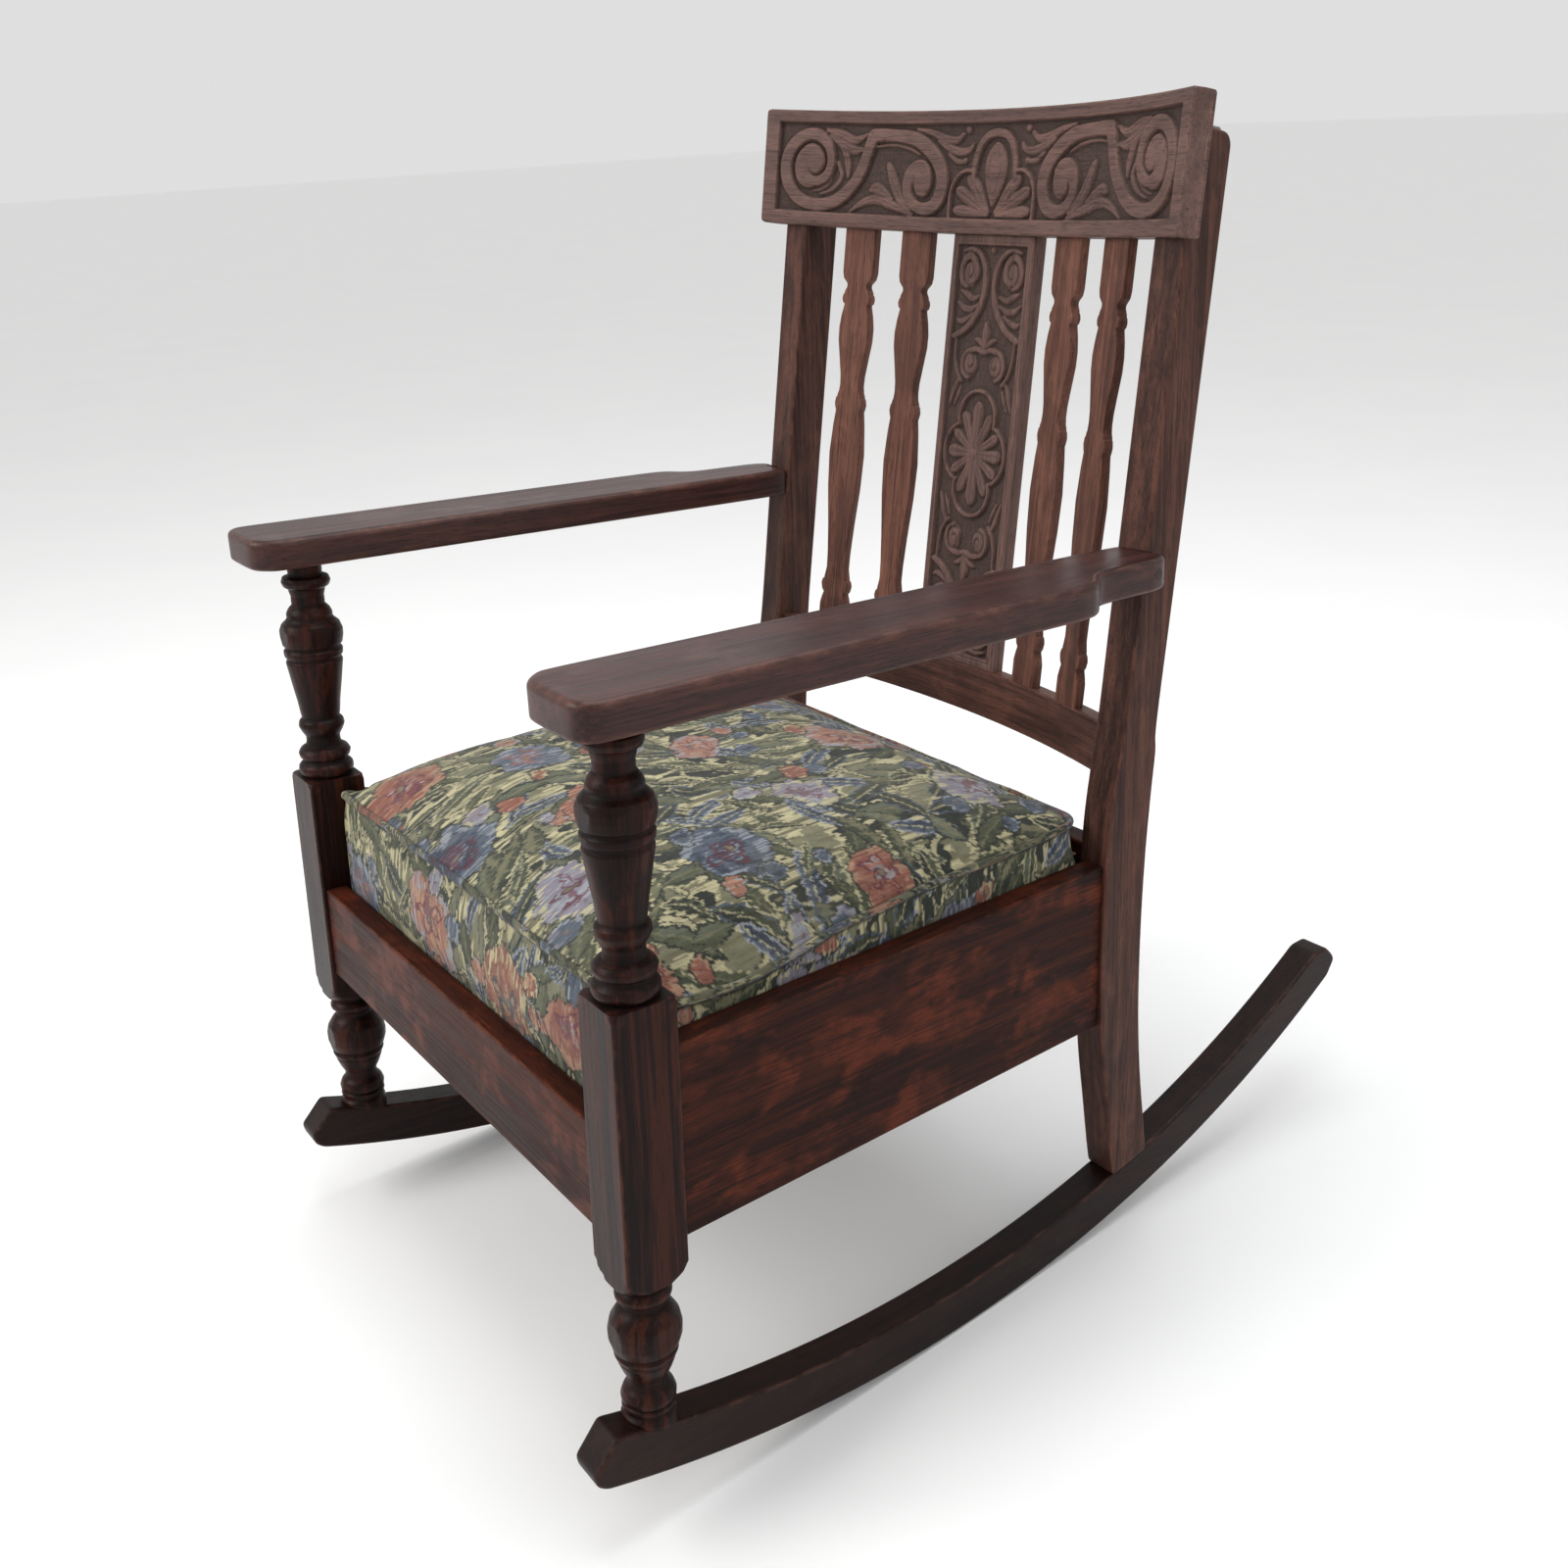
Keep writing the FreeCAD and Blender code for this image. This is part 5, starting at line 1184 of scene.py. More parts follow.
def perimeter(valid, ny1, no):
    n_y, n_s = valid.shape
    path = [(0, i) for i in range(no, n_s - no)]
    path += [(j, n_s - no - 1) for j in range(1, ny1 + 1)]
    path += [(ny1, i) for i in range(n_s - no, n_s)]
    path += [(j, n_s - 1) for j in range(ny1 + 1, n_y)]
    path += [(n_y - 1, i) for i in range(n_s - 2, -1, -1)]
    path += [(j, 0) for j in range(n_y - 2, ny1 - 1, -1)]
    path += [(ny1, i) for i in range(1, no + 1)]
    path += [(j, no) for j in range(ny1 - 1, 0, -1)]
    return path


def seat_cage():
    X, Y, valid, ny1, no = seat_grid()
    n_y, n_s = valid.shape
    idx = -np.ones((n_y, n_s), int)
    idx[valid] = np.arange(valid.sum())
    top_n = int(valid.sum())
    start = 0.62
    x, y = X[valid], Y[valid]
    z = welt_height(x, y) + crown_height(x, y) * start
    co = [xyz(x, y, z)]
    quads = []
    a, b, c, d = idx[:-1, :-1], idx[:-1, 1:], idx[1:, 1:], idx[1:, :-1]
    ok = (a >= 0) & (b >= 0) & (c >= 0) & (d >= 0)
    quads.append(np.stack([a[ok], b[ok], c[ok], d[ok]], 1))
    per = perimeter(valid, ny1, no)
    pid = np.array([idx[p] for p in per])
    m = len(pid)
    px, py = X[tuple(np.array(per).T)], Y[tuple(np.array(per).T)]
    zt = welt_height(px, py)
    rows = max(6, int(round((410 - SEAT_LOW) / STEP)))
    prev = pid
    total = top_n
    side_rows = [pid]
    for k in range(1, rows + 1):
        f = k / rows
        co.append(xyz(px, py, zt * (1 - f) + SEAT_LOW * f))
        cur = total + np.arange(m)
        total += m
        i = np.arange(m)
        j = (i + 1) % m
        quads.append(np.stack([prev[j], prev[i], cur[i], cur[j]], 1))
        prev = cur
        side_rows.append(cur)
    # underside
    under = np.zeros(top_n, int) - 1
    inner = np.ones(top_n, bool)
    inner[pid] = False
    under[pid] = prev
    under[inner] = total + np.arange(inner.sum())
    co.append(xyz(x[inner], y[inner], np.full(inner.sum(), SEAT_LOW)))
    total += int(inner.sum())
    q = quads[0]
    bottom_quads = under[q][:, ::-1]
    return np.vstack(co), np.vstack(quads), bottom_quads, pid, side_rows, top_n


cage, shell_quads, bottom_quads, rim_ids, side_rows, top_n = seat_cage()
square = cage.copy()
cage = round_corners(cage)
rest = cage.copy()


def crush(p, strength=1.0):
    """Small hollows and pulls that the sewing and the sitter leave in the cover."""
    x, y = p[:, 0], p[:, 1]
    return strength * (2.2 * value_noise(x / 85 + 9, y / 85 + 4, 21) + 0.9 * value_noise(x / 34 + 3, y / 34 + 8, 22))


me = bpy.data.meshes.new("seat_sim")
allq = np.vstack([shell_quads, bottom_quads])
me.from_pydata([tuple(v) for v in cage * 0.001], [], [tuple(int(i) for i in f) for f in allq])
me.update()
sim = bpy.data.objects.new("seat_sim", me)
scene.collection.objects.link(sim)
vg = sim.vertex_groups.new(name="held")
low = np.where(cage[:, 2] < 330)[0]
vg.add([int(i) for i in low], 1.0, "REPLACE")
cm = sim.modifiers.new("Cloth", "CLOTH")
cs = cm.settings
cs.quality = 5
cs.mass = 0.4
cs.tension_stiffness = 24
cs.compression_stiffness = 24
cs.shear_stiffness = 8
cs.bending_stiffness = 1.2
cs.use_pressure = True
cs.uniform_pressure_force = 4.0
cs.vertex_group_mass = "held"
cs.effector_weights.gravity = 0.0
cm.collision_settings.use_collision = False
cm.point_cache.frame_start, cm.point_cache.frame_end = 1, 20
for f in range(1, 21):
    scene.frame_set(f)
dg = bpy.context.evaluated_depsgraph_get()
ev = sim.evaluated_get(dg)
out = np.zeros(len(cage) * 3)
ev.data.vertices.foreach_get("co", out)
out = out.reshape(-1, 3) * 1000.0
scene.frame_set(1)
bpy.data.objects.remove(sim)
move = out - cage
ln = np.linalg.norm(move, axis=1)
print("cloth moved, mm: mean %.2f max %.2f, crown %.1f" % (ln.mean(), ln.max(), out[:top_n, 2].max()))
cap = 26.0
move *= np.minimum(1.0, cap / np.maximum(ln, 1e-6))[:, None]
cage = cage + move

# bring the blown-up crown to the height of the real one, and keep the cover clear of wood
x, y = rest[:top_n, 0], rest[:top_n, 1]
want = welt_height(x, y) + crown_height(square[:top_n, 0], square[:top_n, 1])
top = cage[:top_n].copy()
base = welt_height(x, y)
rise_now = np.percentile(top[:, 2] - base, 97)
top[:, 2] = base + (top[:, 2] - base) * np.clip(49.0 / max(rise_now, 1.0), 0.6, 1.8)
top[:, 2] = 0.35 * top[:, 2] + 0.65 * want
hold = crown_height(square[:top_n, 0], square[:top_n, 1]) / 49.0
top[:, 2] += crush(rest[:top_n]) * hold ** 0.7
top[:, :2] = rest[:top_n, :2] + np.clip(top[:, :2] - rest[:top_n, :2], -1.0, 1.0)
cage[:top_n] = top
rim_rest = rest[rim_ids]
cage[rim_ids] = xyz(rim_rest[:, 0], rim_rest[:, 1], welt_height(rim_rest[:, 0], rim_rest[:, 1]) + 0.9 * value_noise(rim_rest[:, 0] / 40, rim_rest[:, 1] / 40, 31))
center = np.array([0, 235.0])
for k, ids in enumerate(side_rows[1:], 1):
    f = k / (len(side_rows) - 1)
    rp = rest[ids]
    out_xy = np.clip(cage[ids][:, :2] - rp[:, :2], -7.0, 7.0)
    front = (rp[:, 1] < 1.0) & (np.abs(rp[:, 0]) < W_IN - 22)
    # the front swells over the low rail, the sides are held by the rails and posts
    swell = np.zeros(len(ids))
    swell[front] = 5.5 * math.sin(math.pi * min(1.0, f / 0.86)) ** 0.9 * (1 - (np.abs(rp[front, 0]) / W_IN) ** 6)
    new = rp.copy()
    new[:, 1] -= swell
    new[:, 1] += np.where(front, np.clip(out_xy[:, 1] + swell, -1.5, 1.5) * (1 - f), 0)
    new[:, 2] = cage[rim_ids][:, 2] * (1 - f) + SEAT_LOW * f
    # sides draw in a touch below the welt
    pull = 2.6 * math.exp(-(f / 0.09) ** 2)
    vec = rp[:, :2] - center
    vec /= np.linalg.norm(vec, axis=1)[:, None]
    new[:, :2] -= vec * (pull + 0.3)
    cage[ids] = new

# ---- yarn colours
CREAM, KHAKI, SAND = (182, 174, 138), (118, 114, 88), (156, 150, 124)
OLIVE, DEEP, MOSS, SAGE = (62, 67, 50), (38, 43, 38), (80, 84, 62), (94, 100, 84)
SLATE, NAVY, LILAC, MIST = (78, 88, 102), (42, 50, 68), (128, 122, 134), (146, 150, 156)
RUST, ROSE, PEACH, WINE = (132, 82, 68), (150, 104, 88), (166, 132, 108), (88, 38, 52)


def motif_plan(x0, x1, y0, y1, seed):
    """Leaves, tendrils and blooms scattered over a cut of cloth."""
    r = np.random.default_rng(seed)
    leaves, blooms, vines = [], [], []
    palette = [(RUST, ROSE, PEACH, WINE), (ROSE, PEACH, MIST, WINE), (SLATE, NAVY, MIST, WINE), (LILAC, MIST, CREAM, WINE), (RUST, PEACH, CREAM, NAVY), (SLATE, LILAC, MIST, RUST)]
    n = 0
    gx, gy = 138.0, 126.0
    for j in range(int((y1 - y0) / gy) + 3):
        for i in range(int((x1 - x0) / gx) + 3):
            cx = x0 + (i - 0.5 + 0.5 * (j % 2)) * gx + r.uniform(-20, 20)
            cy = y0 + (j - 0.5) * gy + r.uniform(-20, 20)
            pal = palette[(i * 2 + j * 3 + int(r.integers(0, 2))) % len(palette)]
            big = r.uniform(30, 48)
            blooms.append((cx, cy, big, int(r.integers(5, 8)), r.uniform(0, 6.28), pal, r.uniform(0.72, 1.0)))
            n += 1
            for k in range(4):
                a = r.uniform(0, 6.28)
                blooms.append((cx + math.cos(a) * r.uniform(38, 62), cy + math.sin(a) * r.uniform(38, 62), r.uniform(8, 15), 5, r.uniform(0, 6.28), palette[int(r.integers(0, len(palette)))], 0.9))
    for j in range(int((y1 - y0) / 31) + 3):
        for i in range(int((x1 - x0) / 29) + 3):
            cx = x0 + (i - 0.5) * 29 + r.uniform(-13, 13)
            cy = y0 + (j - 0.5) * 31 + r.uniform(-13, 13)
            flow = 1.1 + 0.9 * math.sin(cx / 90.0 + 0.8) + 0.9 * math.cos(cy / 75.0)
            leaves.append((cx, cy, r.uniform(18, 40), r.uniform(5.5, 11.0), flow + r.uniform(-0.8, 0.8), int(r.integers(0, 9)), r.uniform(-0.25, 0.25)))
    for k in range(int((x1 - x0) * (y1 - y0) / 4200) + 3):
        px, py = r.uniform(x0, x1), r.uniform(y0, y1)
        a = r.uniform(0, 6.28)
        pts = [(px, py)]
        bend = r.uniform(-0.035, 0.035)
        for q in range(16):
            a += bend * 6 + r.uniform(-0.12, 0.12)
            px, py = px + 6 * math.cos(a), py + 6 * math.sin(a)
            pts.append((px, py))
        vines.append((np.array(pts), r.uniform(1.5, 3.0)))
    return leaves, blooms, vines


def weave_colours(fx, fy, plan, seed):
    """Colour of the yarn at each point of the cloth, as sRGB. The warp runs along fy, so edges break up in teeth along it."""
    leaves, blooms, vines = plan
    tooth = value_noise(fx / 1.9, fy / 16.0, seed) * 2.3 + value_noise(fx / 0.95, fy / 9.0, seed + 1) * 1.2
    u = fx + 0.5 * value_noise(fx / 7.0, fy / 7.0, seed + 2)
    v = fy + tooth
    n1 = value_noise(fx / 2.2, fy / 24.0, seed + 3)
    n2 = value_noise(fx / 22.0, fy / 22.0, seed + 4)
    n3 = value_noise(fx / 3.4, fy / 14.0, seed + 5)
    A = lambda c: np.array(c, float)
    col = np.where((n1 > -0.22)[:, None], A(CREAM), A(KHAKI))
    col = np.where((n2 + 0.4 * n1 > 0.35)[:, None], A(SAND) * 0.5 + A(MOSS) * 0.5, col)
    col = np.where((n2 + 0.5 * n3 < -0.38)[:, None], A(DEEP), col)

    def lay(ids, mask, colour, amount=1.0):
        k = ids[mask]
        col[k] = col[k] * (1 - amount) + A(colour) * amount

    for pts, w in vines:
        c = pts.mean(0)
        rad = np.abs(pts - c).max() + 8
        near = np.where((np.abs(u - c[0]) < rad) & (np.abs(v - c[1]) < rad))[0]
        if not len(near):
            continue
        d = np.full(len(near), 1e9)
        for a, b in zip(pts[:-1], pts[1:]):
            ab = b - a
            t = np.clip(((u[near] - a[0]) * ab[0] + (v[near] - a[1]) * ab[1]) / (ab @ ab), 0, 1)
            d = np.minimum(d, np.hypot(u[near] - a[0] - t * ab[0], v[near] - a[1] - t * ab[1]))
        lay(near, d < w + 1.6, DEEP, 0.85)
        lay(near, d < w, CREAM, 0.95)
    greens = [(OLIVE, MOSS, DEEP), (DEEP, OLIVE, SLATE), (MOSS, SAGE, DEEP), (OLIVE, SAGE, CREAM), (SAGE, KHAKI, DEEP), (SLATE, NAVY, MIST), (OLIVE, KHAKI, DEEP), (DEEP, MOSS, CREAM), (OLIVE, MOSS, CREAM)]
    for cx, cy, ln, w, ang, kind, bend in leaves:
        near = np.where((np.abs(u - cx) < ln + 4) & (np.abs(v - cy) < ln + 4))[0]
        if not len(near):
            continue
        c, s = math.cos(ang), math.sin(ang)
        p = ((u[near] - cx) * c + (v[near] - cy) * s) / ln
        q = (-(u[near] - cx) * s + (v[near] - cy) * c) / w + bend * p * p * 3 - bend
        wid = np.maximum(1 - p * p, 0) ** 0.75 * (1 - 0.22 * p)
        wid = wid * (1 + 0.10 * np.cos(p * 19))
        inside = (np.abs(q) < wid) & (np.abs(p) < 1)
        base, lit, edge = greens[kind]
        lay(near, inside, base)
        lay(near, inside & (q > 0.10) & (n3[near] > -0.25), lit, 0.85)
        lay(near, inside & (np.abs(q) > wid - 0.26) & (n1[near] > -0.5), edge, 0.9)
        lay(near, inside & (np.abs(q) < 0.10) & (p < 0.7), CREAM if kind % 2 else KHAKI, 0.8)
        lay(near, inside & (np.cos((p * 15 + np.abs(q) * 3.0)) > 0.86) & (np.abs(q) < wid - 0.2), lit, 0.7)
    warp_x = 5.0 * value_noise(fx / 13.0, fy / 13.0, seed + 8) + 2.2 * value_noise(fx / 5.0, fy / 5.0, seed + 10)
    warp_y = 5.0 * value_noise(fx / 13.0 + 40, fy / 13.0, seed + 9) + 2.2 * value_noise(fx / 5.0 + 9, fy / 5.0, seed + 11)
    hatch = value_noise(fx / 1.7, fy / 11.0, seed + 12)
    patch = value_noise(fx / 9.0, fy / 9.0, seed + 13)
    for cx, cy, big, k, ph, pal, fl in blooms:
        near = np.where((np.abs(u - cx) < big * 1.4) & (np.abs(v - cy) < big * 1.4))[0]
        if not len(near):
            continue
        g = min(1.0, big / 30.0)
        dx, dy = u[near] + warp_x[near] * g - cx, (v[near] + warp_y[near] * g - cy) / fl
        rr, th = np.hypot(dx, dy) / big, np.arctan2(dy, dx)
        shape = 0.80 + 0.20 * np.abs(np.cos(k * th / 2 + ph)) ** 0.55 + 0.07 * np.sin(2 * th + ph * 3)
        inside = rr < shape
        lay(near, rr < shape + 2.0 / big, DEEP, 0.85)
        main, second, tip, heart = pal
        lay(near, inside, main)
        lay(near, inside & (hatch[near] + 0.7 * patch[near] > 0.28), second, 0.85)
        lay(near, inside & (rr > shape * 0.70) & (hatch[near] - 0.5 * patch[near] > 0.05), tip, 0.85)
        lay(near, inside & (np.abs(np.cos(k * th / 2 + ph)) < 0.10) & (rr > 0.42) & (n3[near] > -0.2), DEEP if main != SLATE else NAVY, 0.5)
        if big > 18:
            cx2, cy2 = dx + 0.12 * big * math.cos(ph), dy + 0.12 * big * math.sin(ph)
            r2 = np.hypot(cx2, cy2) / big
            th2 = np.arctan2(cy2, cx2)
            inner = 0.46 + 0.13 * np.cos((k - 1) * th2 + ph * 2)
            lay(near, (r2 < inner) & (hatch[near] > -0.35), second, 0.9)
            lay(near, (r2 < inner) & (r2 > inner - 0.12) & (patch[near] > -0.45), heart, 0.75)
            lay(near, (r2 < inner - 0.16) & (hatch[near] > 0.25), MIST, 0.75)
            lay(near, (r2 < inner - 0.12) & (patch[near] < -0.15), heart, 0.55)
        lay(near, (rr < 0.15) & (patch[near] > -0.2), heart, 0.8)
        lay(near, (rr < 0.08), KHAKI, 0.9)
    shade = 1.0 + 0.10 * n1 + 0.06 * value_noise(fx / 1.1, fy / 5.0, seed + 7)
    return np.clip(col * shade[:, None], 8, 245)


def to_linear(c):
    c = c / 255.0
    return np.where(c <= 0.04045, c / 12.92, ((c + 0.055) / 1.055) ** 2.4)


PLAN_TOP = motif_plan(-300, 300, -40, 520, 41)
PLAN_SIDE = motif_plan(-340, 900, 560, 760, 43)


def cloth_coords(p, top_side):
    """Where a point of the cover lies on its cut of cloth, in mm. Top and boxing are separate cuts."""
    x, y, z = p[:, 0], p[:, 1], p[:, 2]
    fx, fy = x.copy(), y * 1.05
    # boxing: run round the outline, the cloth hanging down from the welt
    front = y < 14
    left = x > 0
    run = np.where(front & (np.abs(x) < W_IN - 1), x, np.where(left, 300 + y, -300 - y))
    rear = y > SEAT_Y1 - 4
    run = np.where(rear, np.where(left, 780 + (250 - x), -780 - (250 + x)), run)
    sx = run
    sy = 560 + (z - 290)
    return np.where(top_side, fx, sx), np.where(top_side, fy, sy)


def subdivide_cover():
    """Two rounds of smooth subdivision, keeping the sewn edge crisp, then a flat underside."""
    me = bpy.data.meshes.new("seat_cover")
    allco = cage
    used = np.unique(shell_quads)
    remap = -np.ones(len(allco), int)
    remap[used] = np.arange(len(used))
    me.from_pydata([tuple(v) for v in allco[used]], [], [tuple(int(i) for i in f) for f in remap[shell_quads]])
    me.update()
    ob = bpy.data.objects.new("seat_cushion", me)
    scene.collection.objects.link(ob)
    # mark the faces that belong to the top, and crease the notch corners a little
    n_top = len(top_faces)
    at = me.attributes.new("is_top", "FLOAT", "FACE")
    at.data.foreach_set("value", np.concatenate([np.ones(n_top), np.zeros(len(me.polygons) - n_top)]).astype(np.float32))
    rim_new = set(int(remap[i]) for i in rim_ids)
    cr = me.attributes.new("crease_edge", "FLOAT", "EDGE")
    ev = np.zeros(len(me.edges) * 2, int)
    me.edges.foreach_get("vertices", ev)
    ev = ev.reshape(-1, 2)
    in_rim = np.isin(ev, list(rim_new)).all(1)
    cr.data.foreach_set("value", np.where(in_rim, 0.75, 0.0).astype(np.float32))
    sub = ob.modifiers.new("sub", "SUBSURF")
    sub.levels = sub.render_levels = 2
    sub.boundary_smooth = "PRESERVE_CORNERS"
    dg = bpy.context.evaluated_depsgraph_get()
    fine = bpy.data.meshes.new_from_object(ob.evaluated_get(dg))
    bpy.data.objects.remove(ob)
    return fine


top_faces = shell_quads[: len(bottom_quads)]
fine = subdivide_cover()
nv = len(fine.vertices)
co = np.zeros(nv * 3)
fine.vertices.foreach_get("co", co)
co = co.reshape(-1, 3)
is_top_f = np.zeros(len(fine.polygons))
fine.attributes["is_top"].data.foreach_get("value", is_top_f)
lt = np.zeros(len(fine.loops), int)
fine.loops.foreach_get("vertex_index", lt)
quads = lt.reshape(-1, 4)
vt = np.zeros(nv)
cnt = np.zeros(nv)
np.add.at(vt, quads.ravel(), np.repeat(is_top_f, 4))
np.add.at(cnt, quads.ravel(), 1)
share = vt / np.maximum(cnt, 1)
top_v = share > 0.5
seam_v = (share > 0.01) & (share < 0.99)
# boundary loop of the open underside, closed with one flat face
ed = np.sort(np.stack([quads, np.roll(quads, -1, 1)], 2).reshape(-1, 2), axis=1)
key, num = np.unique(ed, axis=0, return_counts=True)
bd = key[num == 1]
nbr = {}
for a, b in bd:
    nbr.setdefault(int(a), []).append(int(b))
    nbr.setdefault(int(b), []).append(int(a))
start_v = int(bd[0][0])
loop, prev_v, cur_v = [start_v], None, start_v
while True:
    nxt = [q for q in nbr[cur_v] if q != prev_v][0]
    if nxt == start_v:
        break
    loop.append(nxt)
    prev_v, cur_v = cur_v, nxt
# direction: opposite to the way the side faces run along the edge
direct = set(map(tuple, np.stack([quads, np.roll(quads, -1, 1)], 2).reshape(-1, 2)[:].tolist())) if len(quads) < 60000 else None
if direct is not None:
    if (loop[0], loop[1]) in direct:
        loop = loop[::-1]
else:
    sel = (quads == loop[0]).any(1) & (quads == loop[1]).any(1)
    f = quads[sel][0].tolist()
    i0 = f.index(loop[0])
    if f[(i0 + 1) % 4] == loop[1]:
        loop = loop[::-1]

fx, fy = cloth_coords(co, top_v)
cols = np.zeros((nv, 3))
cols[top_v] = weave_colours(fx[top_v], fy[top_v], PLAN_TOP, 61)
cols[~top_v] = weave_colours(fx[~top_v], fy[~top_v], PLAN_SIDE, 67)
# painted shade: the cover is darkened within a few mm of the welt cord, where the cord shades it
rp4 = resample(cage[rim_ids], 1.5, True)
tree = KDTree(len(rp4))
for k, v in enumerate(rp4):
    tree.insert(v, k)
tree.balance()
near_rim = np.abs(co[:, 2] - welt_height(co[:, 0], co[:, 1])) < 14
dist = np.full(nv, 99.0)
for k in np.where(near_rim)[0]:
    dist[k] = tree.find(co[k])[2]
cord_shade = np.clip(1 - np.maximum(dist - 2.6, 0) / 3.4, 0, 1)
cols *= (1 - 0.62 * cord_shade)[:, None]
cushion = build("seat_cushion_tapestry", co, quads, [loop], mat="floral_tapestry", slot="tapestry", body="drop_in_seat",
                replaces=["stuffing_pad", "seat_cover_top", "seat_boxing"], sharp=0, tone=None)
me = cushion.data
at = me.attributes.new("tcol", "FLOAT_COLOR", "POINT")
at.data.foreach_set("color", np.concatenate([to_linear(cols), np.ones((nv, 1))], 1).astype(np.float32).ravel())
at = me.attributes.new("fab", "FLOAT_VECTOR", "POINT")
at.data.foreach_set("vector", (np.stack([fx, fy, np.zeros(nv)], 1) * 0.001).astype(np.float32).ravel())

# ---- self-covered welt cord, sewn in along the edge
rim = cage[rim_ids]
path = resample(rim, 2.2, True)
path = blur_line(path, 1.6, True)
cxy = path[:, :2] - center
# keep the cord on the cover's edge, a little proud of it
tan = np.roll(path, -1, 0) - np.roll(path, 1, 0)
tan /= np.linalg.norm(tan, axis=1)[:, None]
outw = np.cross(tan, np.array([0, 0, 1.0]))
outw /= np.linalg.norm(outw, axis=1)[:, None]
sgn = np.sign(np.sum(outw[:, :2] * cxy, axis=1).mean())
outw *= sgn
upw = np.cross(outw, tan)
upw *= np.sign(upw[:, 2].mean())
WR = 3.1
k = 12
ang = np.linspace(0, 2 * np.pi, k, endpoint=False)
s_len = np.concatenate([[0], np.cumsum(np.linalg.norm(np.diff(path, axis=0), axis=1))])
wob = 1 + 0.05 * value_noise(s_len / 6.0, s_len * 0 + 0.5, 77)
ctr = path - outw * 0.9 + upw * 1.5
pts = ctr[:, None, :] + WR * wob[:, None, None] * (np.cos(ang)[None, :, None] * outw[:, None, :] + np.sin(ang)[None, :, None] * upw[:, None, :])
pts = pts.reshape(-1, 3)
n = len(path)
i = np.arange(n)
j = (i + 1) % n
qs = []
for a in range(k):
    b = (a + 1) % k
    qs.append(np.stack([i * k + a, i * k + b, j * k + b, j * k + a], 1))
wfx = np.repeat(s_len[:, None], k, 1).ravel()
wfy = np.tile(ang * WR, n)
# painted shade: the cord's yarn colours are darkened to 0.86 of the cover's
wcol = weave_colours(np.repeat(path[:, 0:1], k, 1).ravel() + wfy, np.repeat(path[:, 1:2], k, 1).ravel() * 1.05 + 8 + wfy, PLAN_TOP, 71) * 0.86
welt = build("welt_cord_sewn", pts, np.vstack(qs), mat="floral_tapestry", slot="welt_cord", body="drop_in_seat", replaces=["seat_welt"], sharp=0, tone=None)
me = welt.data
at = me.attributes.new("tcol", "FLOAT_COLOR", "POINT")
at.data.foreach_set("color", np.concatenate([to_linear(wcol), np.ones((len(wcol), 1))], 1).astype(np.float32).ravel())
at = me.attributes.new("fab", "FLOAT_VECTOR", "POINT")
at.data.foreach_set("vector", (np.stack([wfy, wfx, 0 * wfx], 1) * 0.001).astype(np.float32).ravel())

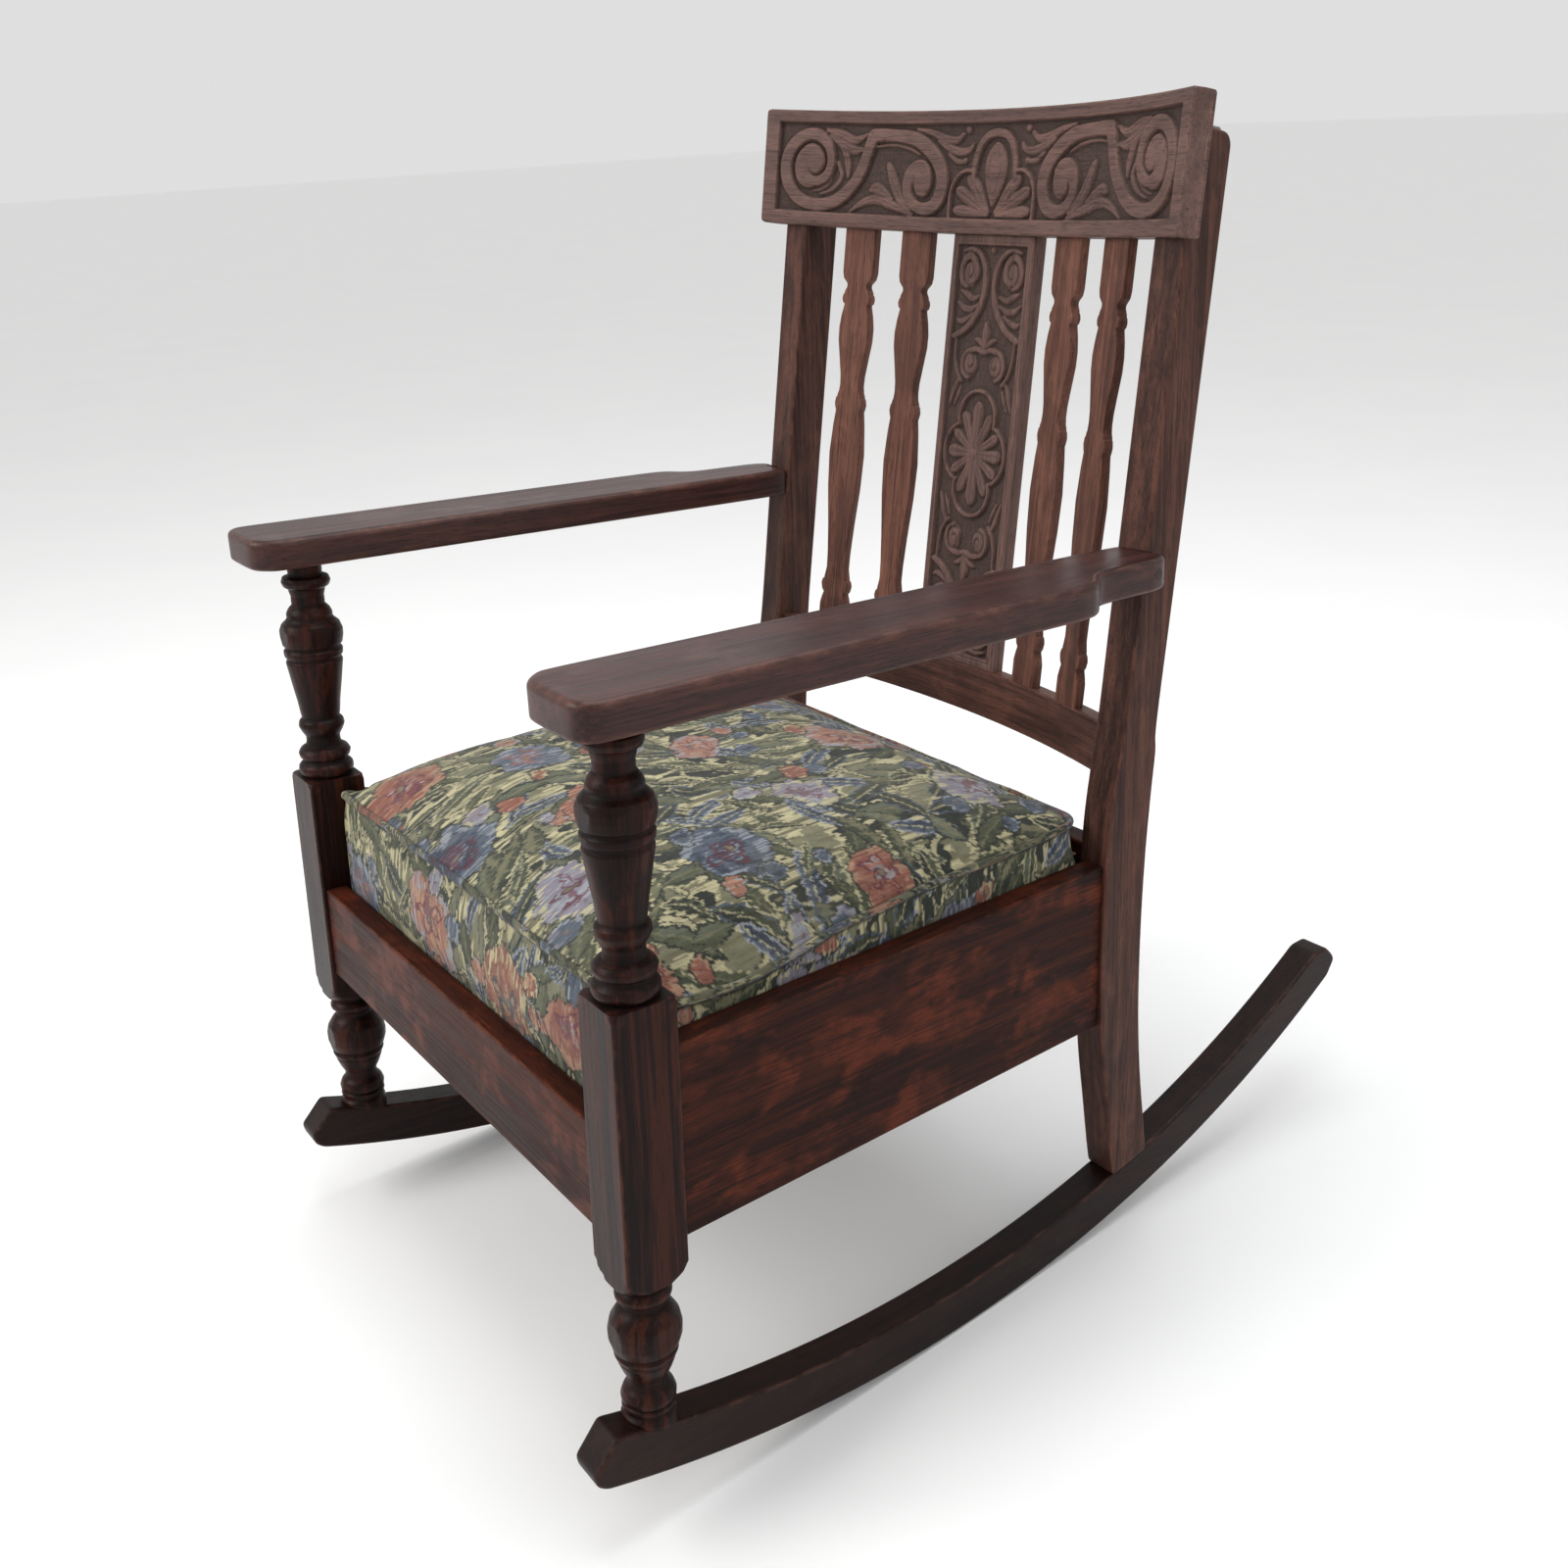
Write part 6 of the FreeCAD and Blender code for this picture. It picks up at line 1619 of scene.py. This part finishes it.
# ------------------------------------------------------------------ camera
CAM = np.array([1196.7, -482.2, 957.4])
YAW, PITCH, ROLL = math.radians(50.859), math.radians(-17.9405), math.radians(0.3074)
d = np.array([-math.sin(YAW) * math.cos(PITCH), math.cos(YAW) * math.cos(PITCH), math.sin(PITCH)])
right = np.cross(d, [0, 0, 1.0])
right /= np.linalg.norm(right)
up = np.cross(right, d)
r_ = math.cos(ROLL) * right + math.sin(ROLL) * up
u_ = -math.sin(ROLL) * right + math.cos(ROLL) * up
cam = bpy.data.cameras.new("camera")
cam_ob = bpy.data.objects.new("camera", cam)
scene.collection.objects.link(cam_ob)
R = RT @ np.stack([r_, u_, -d], 1)
loc = stand([CAM])[0]
cam_ob.matrix_world = Matrix([[*R[0], loc[0]], [*R[1], loc[1]], [*R[2], loc[2]], [0, 0, 0, 1]])
cam.sensor_width = 36.0
cam.lens = 1668.3 / 1600.0 * 36.0
cam.shift_x, cam.shift_y = -139.9 / 1600.0, -69.5 / 1600.0
cam.clip_start, cam.clip_end = 0.02, 60
scene.camera = cam_ob

# ------------------------------------------------------------------ floor and light
bm = bmesh.new()
bmesh.ops.create_grid(bm, x_segments=8, y_segments=8, size=40.0)
fme = bpy.data.meshes.new("studio_floor")
bm.to_mesh(fme)
bm.free()
floor = bpy.data.objects.new("studio_floor", fme)
floor.location = (0, 0, -0.0005)
scene.collection.objects.link(floor)
g = Graph("studio_pale")
n = g.noise(g.scale(g.obj(), (3, 3, 3)), 1.0, 2.0, 0.5)
g.put(g.bsdf.inputs["Base Color"], g.mix(n, lin(246, 246, 246), lin(250, 250, 249)))
g.put(g.bsdf.inputs["Roughness"], g.ramp(n, 0.2, 0.8, 0.82, 0.92))
fme.materials.append(g.mat)

world = bpy.data.worlds.new("studio")
scene.world = world
world.use_nodes = True
bg = world.node_tree.nodes["Background"]
bg.inputs[0].default_value = (1.0, 1.0, 1.0, 1)
bg.inputs[1].default_value = 0.74


def area(name, at, look, size, power, colour=(1, 1, 1)):
    li = bpy.data.lights.new(name, "AREA")
    li.shape = "RECTANGLE"
    li.size, li.size_y = size
    li.energy = power
    li.color = colour
    ob = bpy.data.objects.new(name, li)
    scene.collection.objects.link(ob)
    ob.location = at
    ob.rotation_mode = "QUATERNION"
    ob.rotation_quaternion = (Vector(look) - Vector(at)).to_track_quat("-Z", "Y")
    return ob


area("key_soft", (-0.9, -2.6, 2.3), (0, 0, 0.5), (1.6, 1.6), 50, (1.0, 0.98, 0.96))
area("fill_right", (2.7, 0.9, 1.7), (0, 0.1, 0.5), (1.8, 1.8), 9, (0.97, 0.98, 1.0))
area("top_soft", (0.1, 0.3, 2.9), (0, 0, 0.5), (2.0, 2.0), 40, (0.96, 0.98, 1.0))
scene.view_settings.view_transform = "Standard"
scene.view_settings.look = "None"
